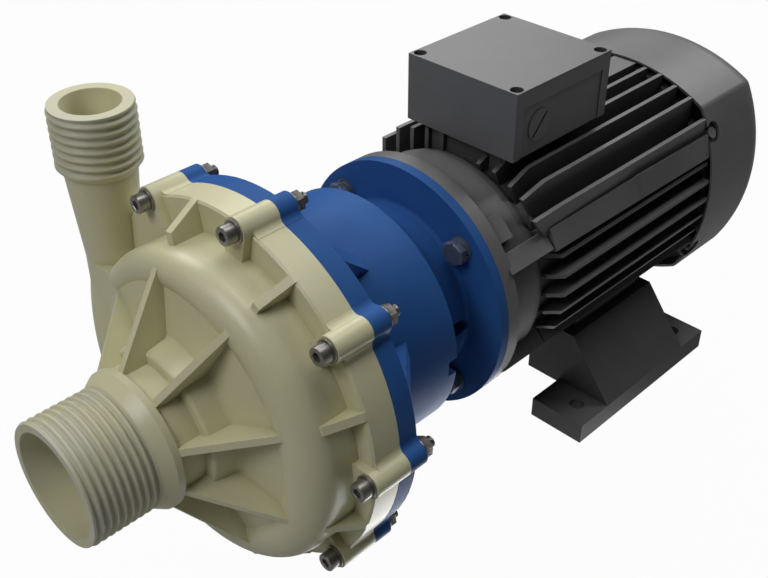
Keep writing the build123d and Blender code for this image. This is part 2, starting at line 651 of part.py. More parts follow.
def flange_spring_washers():
    """Spring washers between the bolt heads and the plain washers."""
    start = -FLANGE_THICKNESS - FLANGE_WASHER - SPRING_WASHER
    washer = tube(SPRING_WASHER_RADIUS, FLANGE_BOLT_RADIUS + SEAT, start, start + SPRING_WASHER)
    return ring_of(washer, FLANGE_ANGLES, FLANGE_BOLT_CIRCLE)


# Motor: drive-end shield
SHIELD_FLANGE = 12.0
SHIELD_STEP = 4.0
SHIELD_RADIUS = FRAME_RADIUS + 6.0
SHIELD_SHOULDER = FRAME_FRONT - 14.0
SHIELD_TAPER = SHIELD_SHOULDER + 6.0
SHIELD_RIM = 1.5
SHIELD_WALL = 14.0
FRAME_BORE = FRAME_RADIUS - FRAME_WALL
LUG_FACET = FRAME_RADIUS + 11.7
LUG_LOW = 18.6
LUG_HIGH = 34.3
LUG_DEPTH = 22.0
BOLT_LUG_LOW = -9.2
BOLT_LUG_HIGH = 11.2
BOLT_LUG_REAR = 29.0
BEARING_OUTER = 40.0
BEARING_BORE = 20.0
BEARING_WIDTH = 18.0
FRONT_BEARING = 18.0
REAR_BEARING = FRAME_REAR - 16.5
HOUSING_RADIUS = 50.0
HOUSING_CAP = 6.0
SEAL_RADIUS = 28.0
SEAL_FRONT = 5.0
SEAL_LENGTH = 8.0
BALL_RADIUS = 6.0
BALL_COUNT = 9
BALL_CIRCLE = 30.0


def mirrored(piece):
    """The piece with its mirror images to the left, below and both."""
    right = [piece, mirror(piece, Plane.XY)]
    return right + [mirror(each, Plane.YZ) for each in right]


def facet_block(low, high, depth, start, end):
    """Block under a facet that faces up and right at 45 degrees."""
    return Rot(0, -45, 0) * block(LUG_FACET - depth, LUG_FACET, start, end, -high, -low)


def motor_shield():
    """Drive-end shield with its spigot, flange, lugs and bearing seat."""
    bearing_end = FRONT_BEARING + BEARING_WIDTH
    body = turned(
        (SHAFT_RADIUS + 2, -SPIGOT_LENGTH), (SPIGOT_RADIUS, -SPIGOT_LENGTH), (SPIGOT_RADIUS, 0),
        (FLANGE_RADIUS, 0), (FLANGE_RADIUS, SHIELD_FLANGE), (SHIELD_RADIUS, SHIELD_FLANGE + SHIELD_STEP),
        (SHIELD_RADIUS, SHIELD_SHOULDER), (SHIELD_RADIUS - SHIELD_RIM, SHIELD_TAPER),
        (FRAME_RADIUS + SHIELD_RIM, FRAME_FRONT - 2 * SHIELD_RIM), (FRAME_RADIUS, FRAME_FRONT),
        (FRAME_BORE, FRAME_FRONT), (FRAME_BORE, SHIELD_WALL),
        (HOUSING_RADIUS, SHIELD_WALL), (HOUSING_RADIUS, bearing_end), (BEARING_OUTER + SEAT, bearing_end),
        (BEARING_OUTER + SEAT, FRONT_BEARING), (SEAL_RADIUS + SEAT, FRONT_BEARING),
        (SEAL_RADIUS + SEAT, SEAL_FRONT), (SHAFT_RADIUS + 2, SEAL_FRONT),
    )
    tie_lug = facet_block(LUG_LOW, LUG_HIGH, LUG_DEPTH, SHIELD_FLANGE - 2, FRAME_FRONT)
    bolt_lug = facet_block(BOLT_LUG_LOW, BOLT_LUG_HIGH, LUG_DEPTH, SHIELD_FLANGE - 2, BOLT_LUG_REAR)
    for lug in mirrored(tie_lug) + mirrored(bolt_lug):
        body += lug
    body -= rod(FRAME_BORE, SHIELD_WALL, FRAME_FRONT) - rod(HOUSING_RADIUS, SHIELD_WALL, bearing_end)
    for angle in FLANGE_ANGLES:
        body -= turn(angle) * rod(FLANGE_BOLT_RADIUS + SEAT, 0, FLANGE_BOLT_TIP + 2, FLANGE_BOLT_CIRCLE)
    for hole in mirrored(rod(TIE_RADIUS + SEAT, TIE_TIP, FRAME_FRONT, TIE_X, TIE_Z)):
        body -= hole
    return body


def shaft_seal():
    """Rubber lip seal in front of the drive-end bearing."""
    return tube(SEAL_RADIUS, SHAFT_RADIUS + RUNNING, SEAL_FRONT, SEAL_FRONT + SEAL_LENGTH)


def bearing_outer(start):
    """Outer ring of a ball bearing, with the groove for its balls."""
    middle = start + BEARING_WIDTH / 2
    inner = BEARING_OUTER - 6.5
    ring = tube(BEARING_OUTER, inner, start, start + BEARING_WIDTH)
    return ring - Pos(0, middle, 0) * Rot(90, 0, 0) * Torus(BALL_CIRCLE, BALL_RADIUS + SOFT)


def bearing_inner(start):
    """Inner ring of a ball bearing, with the groove for its balls."""
    middle = start + BEARING_WIDTH / 2
    ring = tube(BEARING_BORE + 6.5, BEARING_BORE + SEAT, start, start + BEARING_WIDTH)
    return ring - Pos(0, middle, 0) * Rot(90, 0, 0) * Torus(BALL_CIRCLE, BALL_RADIUS + SOFT)


def bearing_balls(start):
    """Balls of one bearing."""
    middle = start + BEARING_WIDTH / 2
    ball = Pos(BALL_CIRCLE, middle, 0) * Sphere(BALL_RADIUS)
    return [turn(360.0 * number / BALL_COUNT) * ball for number in range(BALL_COUNT)]


# Motor: finned frame, with its stator and rotor
PAD_JOINT = 1.0
FIN_RADIUS = FRAME_RADIUS + FIN_HEIGHT
FIN_ROOT = FRAME_BORE + 2.0
FIN_SLANT = 10.0
SIDE_FIN = 3.2
SIDE_PITCH = 16.5
TOP_FIN = 3.5
TOP_PITCH = 15.4
TOP_FIN_START = 21.0
TOP_FIN_LOW = 40.0
TOP_PAD = 11.0
TOP_PAD_HEIGHT = FIN_RADIUS - 0.5
TIE_RADIUS = 3.0
TIE_ANGLE = 29.0
TIE_X = (FRAME_RADIUS + 3.4) * cos(radians(TIE_ANGLE))
TIE_Z = (FRAME_RADIUS + 3.4) * sin(radians(TIE_ANGLE))
TIE_TIP = 36.0
STACK_FRONT = FRAME_FRONT + 42.0
STACK_REAR = FRAME_REAR - 46.5
STACK_BORE = FRAME_BORE - 26.0
AIR_GAP = 0.5
WINDING_LENGTH = 22.0
WINDING_GAP = 4.5
BOX_SEAT = FRAME_RADIUS + 0.2
NECK_WIDTH = 38.0
NECK_FRONT = FRAME_FRONT + 4.0
NECK_REAR = NECK_FRONT + 93.0
NECK_ROOT = 60.0
NECK_HOLE = 25.0
NECK_HOLE_INSET = 20.0
FOOT_BODY_FRONT = FIRST_FOOT_HOLE + 15.4
FOOT_BODY_REAR = FIRST_FOOT_HOLE + FOOT_HOLE_SPAN_Y - 15.2
FOOT_INNER = 45.6
FOOT_UNDER = 14.3 - SHAFT_HEIGHT
FOOT_BODY_TOP = -64.5
FOOT_SEAT_X = 80.0
FOOT_SEAT_TOP = -45.0
FOOT_SEAT_INSET = 12.0
FOOT_X_OUTER = FOOT_HOLE_SPAN_X / 2 + 19.3


def frame_fins():
    """All fins and pads of the frame, before they are trimmed to its envelope."""
    pieces = [block(-TOP_PAD, TOP_PAD, FRAME_FRONT, FRAME_REAR, FIN_ROOT, TOP_PAD_HEIGHT)]
    levels = [SIDE_PITCH * number for number in range(-4, 3)]
    for level in levels:
        low = level - SIDE_FIN / 2
        pieces.append(block(-FIN_RADIUS, FIN_RADIUS, FRAME_FRONT, FRAME_REAR, low, low + SIDE_FIN))
    columns = [TOP_FIN_START + TOP_PITCH * number for number in range(4)]
    for column in columns + [-column for column in columns]:
        low = column - TOP_FIN / 2
        pieces.append(block(low, low + TOP_FIN, FRAME_FRONT, FRAME_REAR, TOP_FIN_LOW, FIN_RADIUS))
    for column in [TOP_PITCH * number for number in range(-2, 3)]:
        low = column - TOP_FIN / 2
        pieces.append(block(low, low + TOP_FIN, FRAME_FRONT, FRAME_REAR, -FIN_RADIUS, -TOP_FIN_LOW))
    return pieces


def foot_room():
    """Space that a foot fills beside the frame."""
    return block(FOOT_INNER - SEAT, FOOT_X_OUTER, FOOT_BODY_FRONT - SEAT, FOOT_BODY_REAR + SEAT,
                 -SHAFT_HEIGHT, FOOT_BODY_TOP + SEAT)


def neck_hole(bottom, top):
    """Hole through the neck for the leads of the windings."""
    front = NECK_FRONT + NECK_HOLE_INSET
    rear = NECK_REAR - NECK_HOLE_INSET
    return block(-NECK_HOLE, NECK_HOLE, front, rear, bottom, top)


def stator_frame():
    """Cast frame with cooling fins, a seat for the terminal box and room for the feet."""
    envelope = turned(
        (FIN_ROOT, FRAME_FRONT), (FIN_RADIUS - FIN_SLANT, FRAME_FRONT),
        (FIN_RADIUS, FRAME_FRONT + FIN_SLANT), (FIN_RADIUS, FRAME_REAR), (FIN_ROOT, FRAME_REAR),
    )
    fins = Part() + frame_fins()
    fins = fins & envelope
    half = NECK_WIDTH + SEAT
    fins -= block(-half, half, FRAME_FRONT, NECK_REAR + SEAT, BOX_SEAT, FIN_RADIUS + EMBED)
    fins -= block(-half, half, FRAME_FRONT, NECK_FRONT, FRAME_BORE, BOX_SEAT)
    fins -= foot_room()
    fins -= mirror(foot_room(), Plane.YZ)
    body = tube(FRAME_RADIUS, FRAME_BORE, FRAME_FRONT, FRAME_REAR) + fins
    body += block(-NECK_WIDTH, NECK_WIDTH, NECK_FRONT, NECK_REAR, NECK_ROOT, BOX_SEAT)
    for pad in mirrored(facet_block(LUG_LOW, LUG_HIGH, LUG_DEPTH, FRAME_FRONT + PAD_JOINT, FRAME_REAR)):
        body += pad
    foot_seat = block(FOOT_INNER, FOOT_SEAT_X, FOOT_BODY_FRONT + FOOT_SEAT_INSET,
                      FOOT_BODY_REAR - FOOT_SEAT_INSET, FOOT_BODY_TOP + SEAT, FOOT_SEAT_TOP)
    body += foot_seat
    body += mirror(foot_seat, Plane.YZ)
    body -= rod(FRAME_BORE, FRAME_FRONT, FRAME_REAR)
    body -= neck_hole(NECK_ROOT, BOX_SEAT)
    for hole in mirrored(rod(TIE_RADIUS + SEAT, FRAME_FRONT, FRAME_REAR, TIE_X, TIE_Z)):
        body -= hole
    for side in (1, -1):
        for position in FOOT_SCREWS:
            body -= pin(FOOT_SCREW + SEAT, side * FOOT_SCREW_X, position, FOOT_UNDER, FOOT_SCREW_TOP)
    return body


def stator_core():
    """Stack of stator laminations, pressed into the frame."""
    return tube(FRAME_BORE - SEAT, STACK_BORE, STACK_FRONT, STACK_REAR)


def stator_windings():
    """Coil ends that stand out of the stator core at both ends."""
    outer = FRAME_BORE - WINDING_GAP
    inner = STACK_BORE + WINDING_GAP
    corner = (outer - inner) / 4
    coils = []
    for face, way in ((STACK_FRONT, -1), (STACK_REAR, 1)):
        end = face + way * WINDING_LENGTH
        shoulder = end - way * corner
        coils.append(turned(
            (inner, face), (outer, face), (outer, shoulder), (outer - corner, end), (inner + corner, end),
            (inner, shoulder),
        ))
    return coils


FAN_THICKNESS = 4.0
FAN_BLADE_LENGTH = 22.0
REAR_RIM = 8.0
FAN_BLADE_FRONT = FRAME_REAR + REAR_RIM + 13.5
FAN_DISC = FAN_BLADE_FRONT + FAN_BLADE_LENGTH
ROTOR_SHAFT_RADIUS = 25.0
ROTOR_RING_INNER = 32.0
ROTOR_RING_OUTER = STACK_BORE - 4.0
ROTOR_RING_LENGTH = 10.0
FAN_SHAFT_RADIUS = 17.0
SHAFT_END = FAN_DISC + 16.0


def motor_shaft():
    """Stepped shaft with a keyway at the pump end."""
    front_end = FRONT_BEARING + BEARING_WIDTH
    rear_end = REAR_BEARING + BEARING_WIDTH
    body = turned(
        (0, -SHAFT_LENGTH), (SHAFT_RADIUS - 1, -SHAFT_LENGTH), (SHAFT_RADIUS, 1 - SHAFT_LENGTH),
        (SHAFT_RADIUS, FRONT_BEARING - 3), (BEARING_BORE, FRONT_BEARING - 3), (BEARING_BORE, front_end),
        (ROTOR_SHAFT_RADIUS, front_end), (ROTOR_SHAFT_RADIUS, REAR_BEARING), (BEARING_BORE, REAR_BEARING),
        (BEARING_BORE, rear_end), (FAN_SHAFT_RADIUS, rear_end), (FAN_SHAFT_RADIUS, SHAFT_END),
        (0, SHAFT_END),
    )
    half = KEY_WIDTH / 2 + SEAT
    floor = SHAFT_RADIUS - KEY_DEPTH
    end = KEY_FRONT + KEY_LENGTH + SEAT
    return body - block(-half, half, KEY_FRONT - SEAT, end, floor, SHAFT_RADIUS + 1)


def rotor_core():
    """Rotor with its cast end rings, on the shaft."""
    core = tube(STACK_BORE - AIR_GAP, ROTOR_SHAFT_RADIUS + SEAT, STACK_FRONT, STACK_REAR)
    rings = tube(ROTOR_RING_OUTER, ROTOR_RING_INNER, STACK_FRONT - ROTOR_RING_LENGTH,
                 STACK_REAR + ROTOR_RING_LENGTH)
    return core + rings


# Motor: rear shield, fan and fan cover
REAR_RIM_RADIUS = FRAME_RADIUS + 9.0
COVER_FRONT = FRAME_REAR + 1.0
COVER_REAR = FAN_DISC + 51.0
COVER_HALF = FRAME_RADIUS + 16.0
COVER_CORNER = FRAME_RADIUS + 27.5
COVER_ROUND = 8.0
COVER_WALL = 1.8
COVER_FILLET = 28.0
DIMPLE_ANGLE = 33.0
DIMPLE_Y = FRAME_REAR + 7.5
DIMPLE_RADIUS = 9.0
DIMPLE_FLOOR = COVER_HALF + 2.0
COVER_LUG_WIDTH = 14.0
COVER_LUG_DEPTH = 14.0
COVER_LUG_REAR = FRAME_REAR + 19.5
GRILLE_RADIUS = COVER_HALF - 26.0
GRILLE_SLOT = 6.0
GRILLE_PITCH = 13.0
GRILLE_BRIDGE = 4.0
FAN_RADIUS = COVER_HALF - 18.0
FAN_HUB = 26.0
FAN_BLADE_INNER = 36.0
FAN_BLADE = 3.0
FAN_BLADE_COUNT = 9


def rear_shield():
    """Rear shield with its bearing seat and the lugs that hold the fan cover."""
    bearing_end = REAR_BEARING + BEARING_WIDTH
    rim_rear = FRAME_REAR + REAR_RIM
    body = turned(
        (BEARING_OUTER + SEAT, REAR_BEARING), (HOUSING_RADIUS, REAR_BEARING), (HOUSING_RADIUS, FRAME_REAR),
        (REAR_RIM_RADIUS, FRAME_REAR), (REAR_RIM_RADIUS, rim_rear), (HOUSING_RADIUS, rim_rear),
        (HOUSING_RADIUS - HOUSING_CAP, bearing_end + HOUSING_CAP),
        (FAN_SHAFT_RADIUS + 1, bearing_end + HOUSING_CAP),
        (FAN_SHAFT_RADIUS + 1, bearing_end), (BEARING_OUTER + SEAT, bearing_end),
    )
    half = COVER_LUG_WIDTH / 2
    lug_top = DIMPLE_FLOOR - COVER_WALL - SEAT
    lug = block(REAR_RIM_RADIUS - COVER_LUG_DEPTH, lug_top, FRAME_REAR, COVER_LUG_REAR, -half, half)
    screw_hole = Cylinder(COVER_SCREW + SEAT, 20, align=(Align.CENTER, Align.CENTER, Align.MIN))
    lug -= Pos(DIMPLE_FLOOR - 14, DIMPLE_Y, 0) * Rot(0, 90, 0) * screw_hole
    for piece in mirrored(turn(DIMPLE_ANGLE) * lug):
        body += piece
    for hole in mirrored(rod(TIE_RADIUS + SEAT, FRAME_REAR, rim_rear, TIE_X, TIE_Z)):
        body -= hole
    for pocket in mirrored(rod(TIE_HEAD + 1, rim_rear, COVER_LUG_REAR, TIE_X, TIE_Z)):
        body -= pocket
    return body


TIE_HEAD = 5.0
TIE_HEAD_HEIGHT = 5.0


def tie_screws():
    """Long screws from the rear shield through the frame into the front shield."""
    start = FRAME_REAR + REAR_RIM
    screw = rod(TIE_RADIUS, TIE_TIP + 1, start, TIE_X, TIE_Z)
    screw += rod(TIE_HEAD, start, start + TIE_HEAD_HEIGHT, TIE_X, TIE_Z)
    return mirrored(screw)


COVER_SCREW = 2.5
COVER_SCREW_HEAD = 5.0
COVER_SCREW_HEIGHT = 3.0
COVER_SCREW_LENGTH = 8.0


def cover_body(inset):
    """Solid in the shape of the fan cover, drawn in by the inset."""
    half = COVER_HALF - inset
    corner = (COVER_CORNER - inset * sqrt(2)) * cos(radians(45))
    flat = Plane((0, COVER_FRONT, 0), x_dir=(1, 0, 0), z_dir=(0, -1, 0))
    arcs = [
        ThreePointArc((corner, -corner), (half, 0), (corner, corner)),
        ThreePointArc((corner, corner), (0, half), (-corner, corner)),
        ThreePointArc((-corner, corner), (-half, 0), (-corner, -corner)),
        ThreePointArc((-corner, -corner), (0, -half), (corner, -corner)),
    ]
    body = extrude(flat * make_face(arcs), -(COVER_REAR - COVER_FRONT - inset))
    body = fillet(body.edges().filter_by(Axis.Y), COVER_ROUND)
    body = fillet(body.faces().sort_by(Axis.Y)[-1].edges(), COVER_FILLET - inset)
    floor = DIMPLE_FLOOR - inset
    dimple = Cylinder(DIMPLE_RADIUS + inset, 30, align=(Align.CENTER, Align.CENTER, Align.MIN))
    dimple = turn(DIMPLE_ANGLE) * Pos(floor, DIMPLE_Y, 0) * Rot(0, 90, 0) * dimple
    for piece in mirrored(dimple):
        body -= piece
    return body


def fan_cover():
    """Sheet-metal cover over the fan, with air slots in its rear face."""
    inner = cover_body(COVER_WALL)
    body = cover_body(0) - inner
    hole = Cylinder(COVER_SCREW + SEAT, 20, align=(Align.CENTER, Align.CENTER, Align.MIN))
    hole = turn(DIMPLE_ANGLE) * Pos(DIMPLE_FLOOR - 14, DIMPLE_Y, 0) * Rot(0, 90, 0) * hole
    for piece in mirrored(hole):
        body -= piece
    for number in range(-5, 6):
        level = GRILLE_PITCH * number
        reach = sqrt(GRILLE_RADIUS ** 2 - level ** 2)
        low = level - GRILLE_SLOT / 2
        for start, end in ((-reach, -GRILLE_BRIDGE), (GRILLE_BRIDGE, reach)):
            body -= block(start, end, COVER_REAR - 2 * COVER_WALL, COVER_REAR + 1, low, low + GRILLE_SLOT)
    return body


def fan_cover_screws():
    """Screws in the four dimples of the fan cover."""
    head = Cylinder(COVER_SCREW_HEAD, COVER_SCREW_HEIGHT, align=(Align.CENTER, Align.CENTER, Align.MIN))
    shank = Cylinder(COVER_SCREW, COVER_SCREW_LENGTH, align=(Align.CENTER, Align.CENTER, Align.MAX))
    screw = turn(DIMPLE_ANGLE) * Pos(DIMPLE_FLOOR, DIMPLE_Y, 0) * Rot(0, 90, 0) * (head + shank)
    return mirrored(screw)


def cooling_fan():
    """Radial fan on the rear end of the shaft."""
    hub = tube(FAN_HUB, FAN_SHAFT_RADIUS + SEAT, FAN_BLADE_FRONT, FAN_DISC + FAN_THICKNESS)
    disc = tube(FAN_RADIUS, FAN_HUB - 1, FAN_DISC, FAN_DISC + FAN_THICKNESS)
    body = hub + disc
    half = FAN_BLADE / 2
    blade = block(FAN_BLADE_INNER, FAN_RADIUS, FAN_BLADE_FRONT, FAN_DISC + 1, -half, half)
    for number in range(FAN_BLADE_COUNT):
        body += turn(360.0 * number / FAN_BLADE_COUNT) * blade
    return body


# Terminal box on top of the frame
BOX_HALF = 52.0
BOX_FRONT = NECK_FRONT - 9.0
BOX_REAR = NECK_REAR + 9.0
BOX_BOTTOM = FIN_RADIUS + 1.9
BOX_JOINT = BOX_BOTTOM + 40.6
BOX_TOP = BOX_JOINT + 12.7
BOX_WALL = 4.0
BOX_POST = 10.0
BOX_SCREW_X = BOX_HALF - 6.0
BOX_SCREW_FRONT = BOX_FRONT + 6.4
BOX_SCREW_REAR = BOX_REAR - 6.0
BOX_COUNTERBORE = 4.9
BOX_COUNTERBORE_DEPTH = 8.0
BOX_SCREW = 2.5
BOX_SCREW_HEAD = 4.4
BOX_SCREW_LENGTH = 22.0
PANEL_FRONT = BOX_FRONT + 8.6
PANEL_REAR = BOX_REAR - 9.0
PANEL_TOP = BOX_JOINT - 1.0
PANEL_DEPTH = 0.8
PLUG_Y = BOX_FRONT + 28.6
PLUG_Z = BOX_BOTTOM + 20.6
PLUG_RADIUS = 12.5
PLUG_HEIGHT = 0.8
PLUG_SLOT_ANGLE = 138.0
PLUG_SLOT = 22.0
PLUG_SLOT_WIDTH = 1.8
ENTRY_RADIUS = 10.0


def box_corners():
    """Places of the four lid screws."""
    return [(x, y) for x in (-BOX_SCREW_X, BOX_SCREW_X) for y in (BOX_SCREW_FRONT, BOX_SCREW_REAR)]


def pin(radius, x, y, bottom, top):
    """Upright round bar."""
    bar = Cylinder(radius, top - bottom, align=(Align.CENTER, Align.CENTER, Align.MIN))
    return Pos(x, y, bottom) * bar


def terminal_box():
    """Base of the terminal box with its neck, corner posts and two cable entries."""
    body = block(-BOX_HALF, BOX_HALF, BOX_FRONT, BOX_REAR, BOX_BOTTOM, BOX_JOINT)
    inner = BOX_HALF - BOX_WALL
    room = block(-inner, inner, BOX_FRONT + BOX_WALL, BOX_REAR - BOX_WALL, BOX_BOTTOM + BOX_WALL, BOX_JOINT)
    for x, y in box_corners():
        room -= block(x - BOX_POST, x + BOX_POST, y - BOX_POST, y + BOX_POST, BOX_BOTTOM, BOX_JOINT)
    body -= room
    body += block(-NECK_WIDTH, NECK_WIDTH, NECK_FRONT, NECK_REAR, BOX_SEAT, BOX_BOTTOM)
    body -= neck_hole(BOX_SEAT, BOX_BOTTOM + BOX_WALL)
    for x, y in box_corners():
        body -= pin(BOX_SCREW + SEAT, x, y, BOX_JOINT - BOX_SCREW_LENGTH, BOX_JOINT)
    for side in (1, -1):
        edge = side * BOX_HALF
        low, high = sorted((edge, edge - side * PANEL_DEPTH))
        body -= block(low, high, PANEL_FRONT, PANEL_REAR, BOX_BOTTOM, PANEL_TOP)
        entry = Cylinder(ENTRY_RADIUS + SEAT, 2 * BOX_WALL)
        body -= Pos(edge - side * BOX_WALL / 2, PLUG_Y, PLUG_Z) * Rot(0, 90, 0) * entry
    return body


def terminal_box_lid():
    """Flat lid with four deep screw holes."""
    body = block(-BOX_HALF, BOX_HALF, BOX_FRONT, BOX_REAR, BOX_JOINT, BOX_TOP)
    inner = BOX_HALF - BOX_WALL
    room = block(-inner, inner, BOX_FRONT + BOX_WALL, BOX_REAR - BOX_WALL, BOX_JOINT, BOX_TOP - BOX_WALL)
    for x, y in box_corners():
        room -= block(x - BOX_POST, x + BOX_POST, y - BOX_POST, y + BOX_POST, BOX_JOINT, BOX_TOP)
    body -= room
    for x, y in box_corners():
        body -= pin(BOX_COUNTERBORE, x, y, BOX_TOP - BOX_COUNTERBORE_DEPTH, BOX_TOP)
        body -= pin(BOX_SCREW + SEAT, x, y, BOX_JOINT, BOX_TOP)
    return body


def terminal_box_screws():
    """Lid screws, sunk in their holes."""
    seat = BOX_TOP - BOX_COUNTERBORE_DEPTH
    screws = []
    for x, y in box_corners():
        head = pin(BOX_SCREW_HEAD, x, y, seat, seat + 3)
        screws.append(head + pin(BOX_SCREW, x, y, BOX_JOINT - BOX_SCREW_LENGTH + 2, seat))
    return screws


def entry_plugs():
    """Screwed plugs in the two cable entries."""
    head = Cylinder(PLUG_RADIUS, PLUG_HEIGHT, align=(Align.CENTER, Align.CENTER, Align.MIN))
    head += Cylinder(ENTRY_RADIUS, BOX_WALL + 4, align=(Align.CENTER, Align.CENTER, Align.MAX))
    head -= Pos(0, 0, PLUG_HEIGHT) * Rot(0, 0, PLUG_SLOT_ANGLE) * Box(PLUG_SLOT, PLUG_SLOT_WIDTH, BOX_WALL)
    plug = Pos(BOX_HALF - PANEL_DEPTH, PLUG_Y, PLUG_Z) * Rot(0, 90, 0) * head
    return [plug, mirror(plug, Plane.YZ)]


TERMINAL_WIDTH = 26.0
TERMINAL_HEIGHT = 12.0
STUD_PITCH = 16.0


def terminal_block():
    """Moulded terminal block on the floor of the box."""
    rear = NECK_REAR - 12
    floor = BOX_BOTTOM + BOX_WALL
    body = block(-34, 34, rear - TERMINAL_WIDTH, rear, floor, floor + TERMINAL_HEIGHT)
    for x, y in stud_places():
        body -= pin(BOX_SCREW + SEAT, x, y, floor + 2, floor + TERMINAL_HEIGHT)
    return body


def stud_places():
    """Places of the six terminal studs."""
    middle = NECK_REAR - 12 - TERMINAL_WIDTH / 2
    return [(STUD_PITCH * column, middle + row * 6) for column in (-1, 0, 1) for row in (-1, 1)]


def terminal_studs():
    """Brass studs, each with its nut."""
    floor = BOX_BOTTOM + BOX_WALL
    top = floor + TERMINAL_HEIGHT
    studs = []
    for x, y in stud_places():
        nut = Pos(x, y, top) * extrude(RegularPolygon(4.6, 6), 3.2)
        studs.append(pin(BOX_SCREW, x, y, floor + 2, top + 9) + nut)
    return studs


# Feet under the frame
FOOT_X_INNER = FOOT_HOLE_SPAN_X / 2 - 30.1
FOOT_FRONT = FIRST_FOOT_HOLE - 19.5
FOOT_REAR = FIRST_FOOT_HOLE + FOOT_HOLE_SPAN_Y + 18.6
FOOT_PLATE_TOP = 17.6 - SHAFT_HEIGHT
FOOT_SHOULDER = FRAME_RADIUS + 3.2
FOOT_SCREW = 4.0
FOOT_SCREW_HEAD = 6.5
FOOT_SCREW_X = 61.5
FOOT_SCREW_INSET = 23.7
FOOT_SCREWS = (FOOT_BODY_FRONT + FOOT_SCREW_INSET, FOOT_BODY_REAR - FOOT_SCREW_INSET)
FOOT_SCREW_TOP = -2.3 - sqrt(FRAME_BORE ** 2 - (FOOT_SCREW_X - FOOT_SCREW) ** 2)
FOOT_RECESS = FOOT_UNDER + 14.7


def motor_foot():
    """Right foot: slotted plate, sloping body and a hollow seat against the frame."""
    base = -SHAFT_HEIGHT
    body = block(FOOT_X_INNER, FOOT_X_OUTER, FOOT_FRONT, FOOT_REAR, base, FOOT_PLATE_TOP)
    riser = section_bar(
        FOOT_BODY_FRONT, FOOT_BODY_REAR, (FOOT_X_OUTER, FOOT_PLATE_TOP), (FOOT_SHOULDER, FOOT_BODY_TOP),
        (FOOT_INNER, FOOT_BODY_TOP), (FOOT_INNER, FOOT_UNDER), (FOOT_X_INNER, FOOT_UNDER),
        (FOOT_X_INNER, base), (FOOT_X_OUTER, base),
    )
    body += riser
    body -= rod(FRAME_RADIUS + SEAT, FOOT_FRONT, FOOT_REAR)
    for position in (FIRST_FOOT_HOLE, FIRST_FOOT_HOLE + FOOT_HOLE_SPAN_Y):
        body -= pin(FOOT_HOLE_RADIUS, FOOT_HOLE_SPAN_X / 2, position, base, FOOT_PLATE_TOP)
    for position in FOOT_SCREWS:
        body -= pin(FOOT_SCREW + SEAT, FOOT_SCREW_X, position, FOOT_UNDER, FOOT_SCREW_TOP)
        body -= pin(FOOT_SCREW_HEAD + 1.5, FOOT_SCREW_X, position, FOOT_UNDER, FOOT_RECESS)
    return body


def foot_screws():
    """Screws that hold the feet to the frame."""
    screws = []
    for position in FOOT_SCREWS:
        screw = pin(FOOT_SCREW, FOOT_SCREW_X, position, FOOT_RECESS, FOOT_SCREW_TOP - 1)
        screw += pin(FOOT_SCREW_HEAD, FOOT_SCREW_X, position, FOOT_RECESS - 8, FOOT_RECESS)
        screws += [screw, mirror(screw, Plane.YZ)]
    return screws


save("pump_casing", pump_casing())
save("casing_o_ring", casing_o_ring())
save("containment_shell", containment_shell())
save("pump_shaft", pump_shaft())
save("shaft_support", shaft_support())
save("front_thrust_ring", thrust_ring(THRUST_FRONT))
save("rear_thrust_ring", thrust_ring(THRUST_REAR))
save("impeller_bush", impeller_bush())
save("impeller", impeller())
save("inner_magnet", inner_magnet())
save("outer_magnet_hub", outer_magnet_hub())
save("outer_magnets", outer_magnets())
save("shaft_key", shaft_key())
save("lantern_bracket", lantern_bracket())
save("casing_screws", *casing_screws())
save("casing_washers", *casing_washers())
save("casing_nuts", *casing_nuts())
save("casing_inserts", *casing_inserts())
save("flange_bolts", *flange_bolts())
save("flange_washers", *flange_washers())
save("flange_spring_washers", *flange_spring_washers())
save("motor_shield", motor_shield())
save("shaft_seal", shaft_seal())
for place, start in (("front", FRONT_BEARING), ("rear", REAR_BEARING)):
    save(f"{place}_bearing_outer", bearing_outer(start))
    save(f"{place}_bearing_inner", bearing_inner(start))
    save(f"{place}_bearing_balls", *bearing_balls(start))
save("stator_frame", stator_frame())
save("stator_core", stator_core())
save("stator_windings", *stator_windings())
save("motor_shaft", motor_shaft())
save("rotor_core", rotor_core())
save("rear_shield", rear_shield())
save("tie_screws", *tie_screws())
save("fan_cover", fan_cover())
save("fan_cover_screws", *fan_cover_screws())
save("cooling_fan", cooling_fan())
save("terminal_box", terminal_box())
save("terminal_box_lid", terminal_box_lid())
save("terminal_box_screws", *terminal_box_screws())
save("entry_plugs", *entry_plugs())
save("terminal_block", terminal_block())
save("terminal_studs", *terminal_studs())
foot = motor_foot()
save("foot_right", foot)
save("foot_left", mirror(foot, Plane.YZ))
save("foot_screws", *foot_screws())
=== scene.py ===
# %% [markdown]
# Centrifugal pump with its motor.
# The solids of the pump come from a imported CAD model, which is loaded here as a fixed frame.
# Blender then gives every piece its finish, and adds the small forms that CAD leaves out:
# the coarse threads of the two nozzles and the fine threads, sockets and chamfers of the screws.
# Three forms follow the photograph more closely than the solids do: the slimmer bosses of the
# casing and the lantern, the fins on top of the motor, and the two long pads at its sides.
# All lengths are in metres, and the origin is the middle of the four foot holes.

# %% Load the frame
import bmesh
import bpy
import json
from math import acos, asin, cos, pi, radians, sin
from mathutils import Matrix, Vector


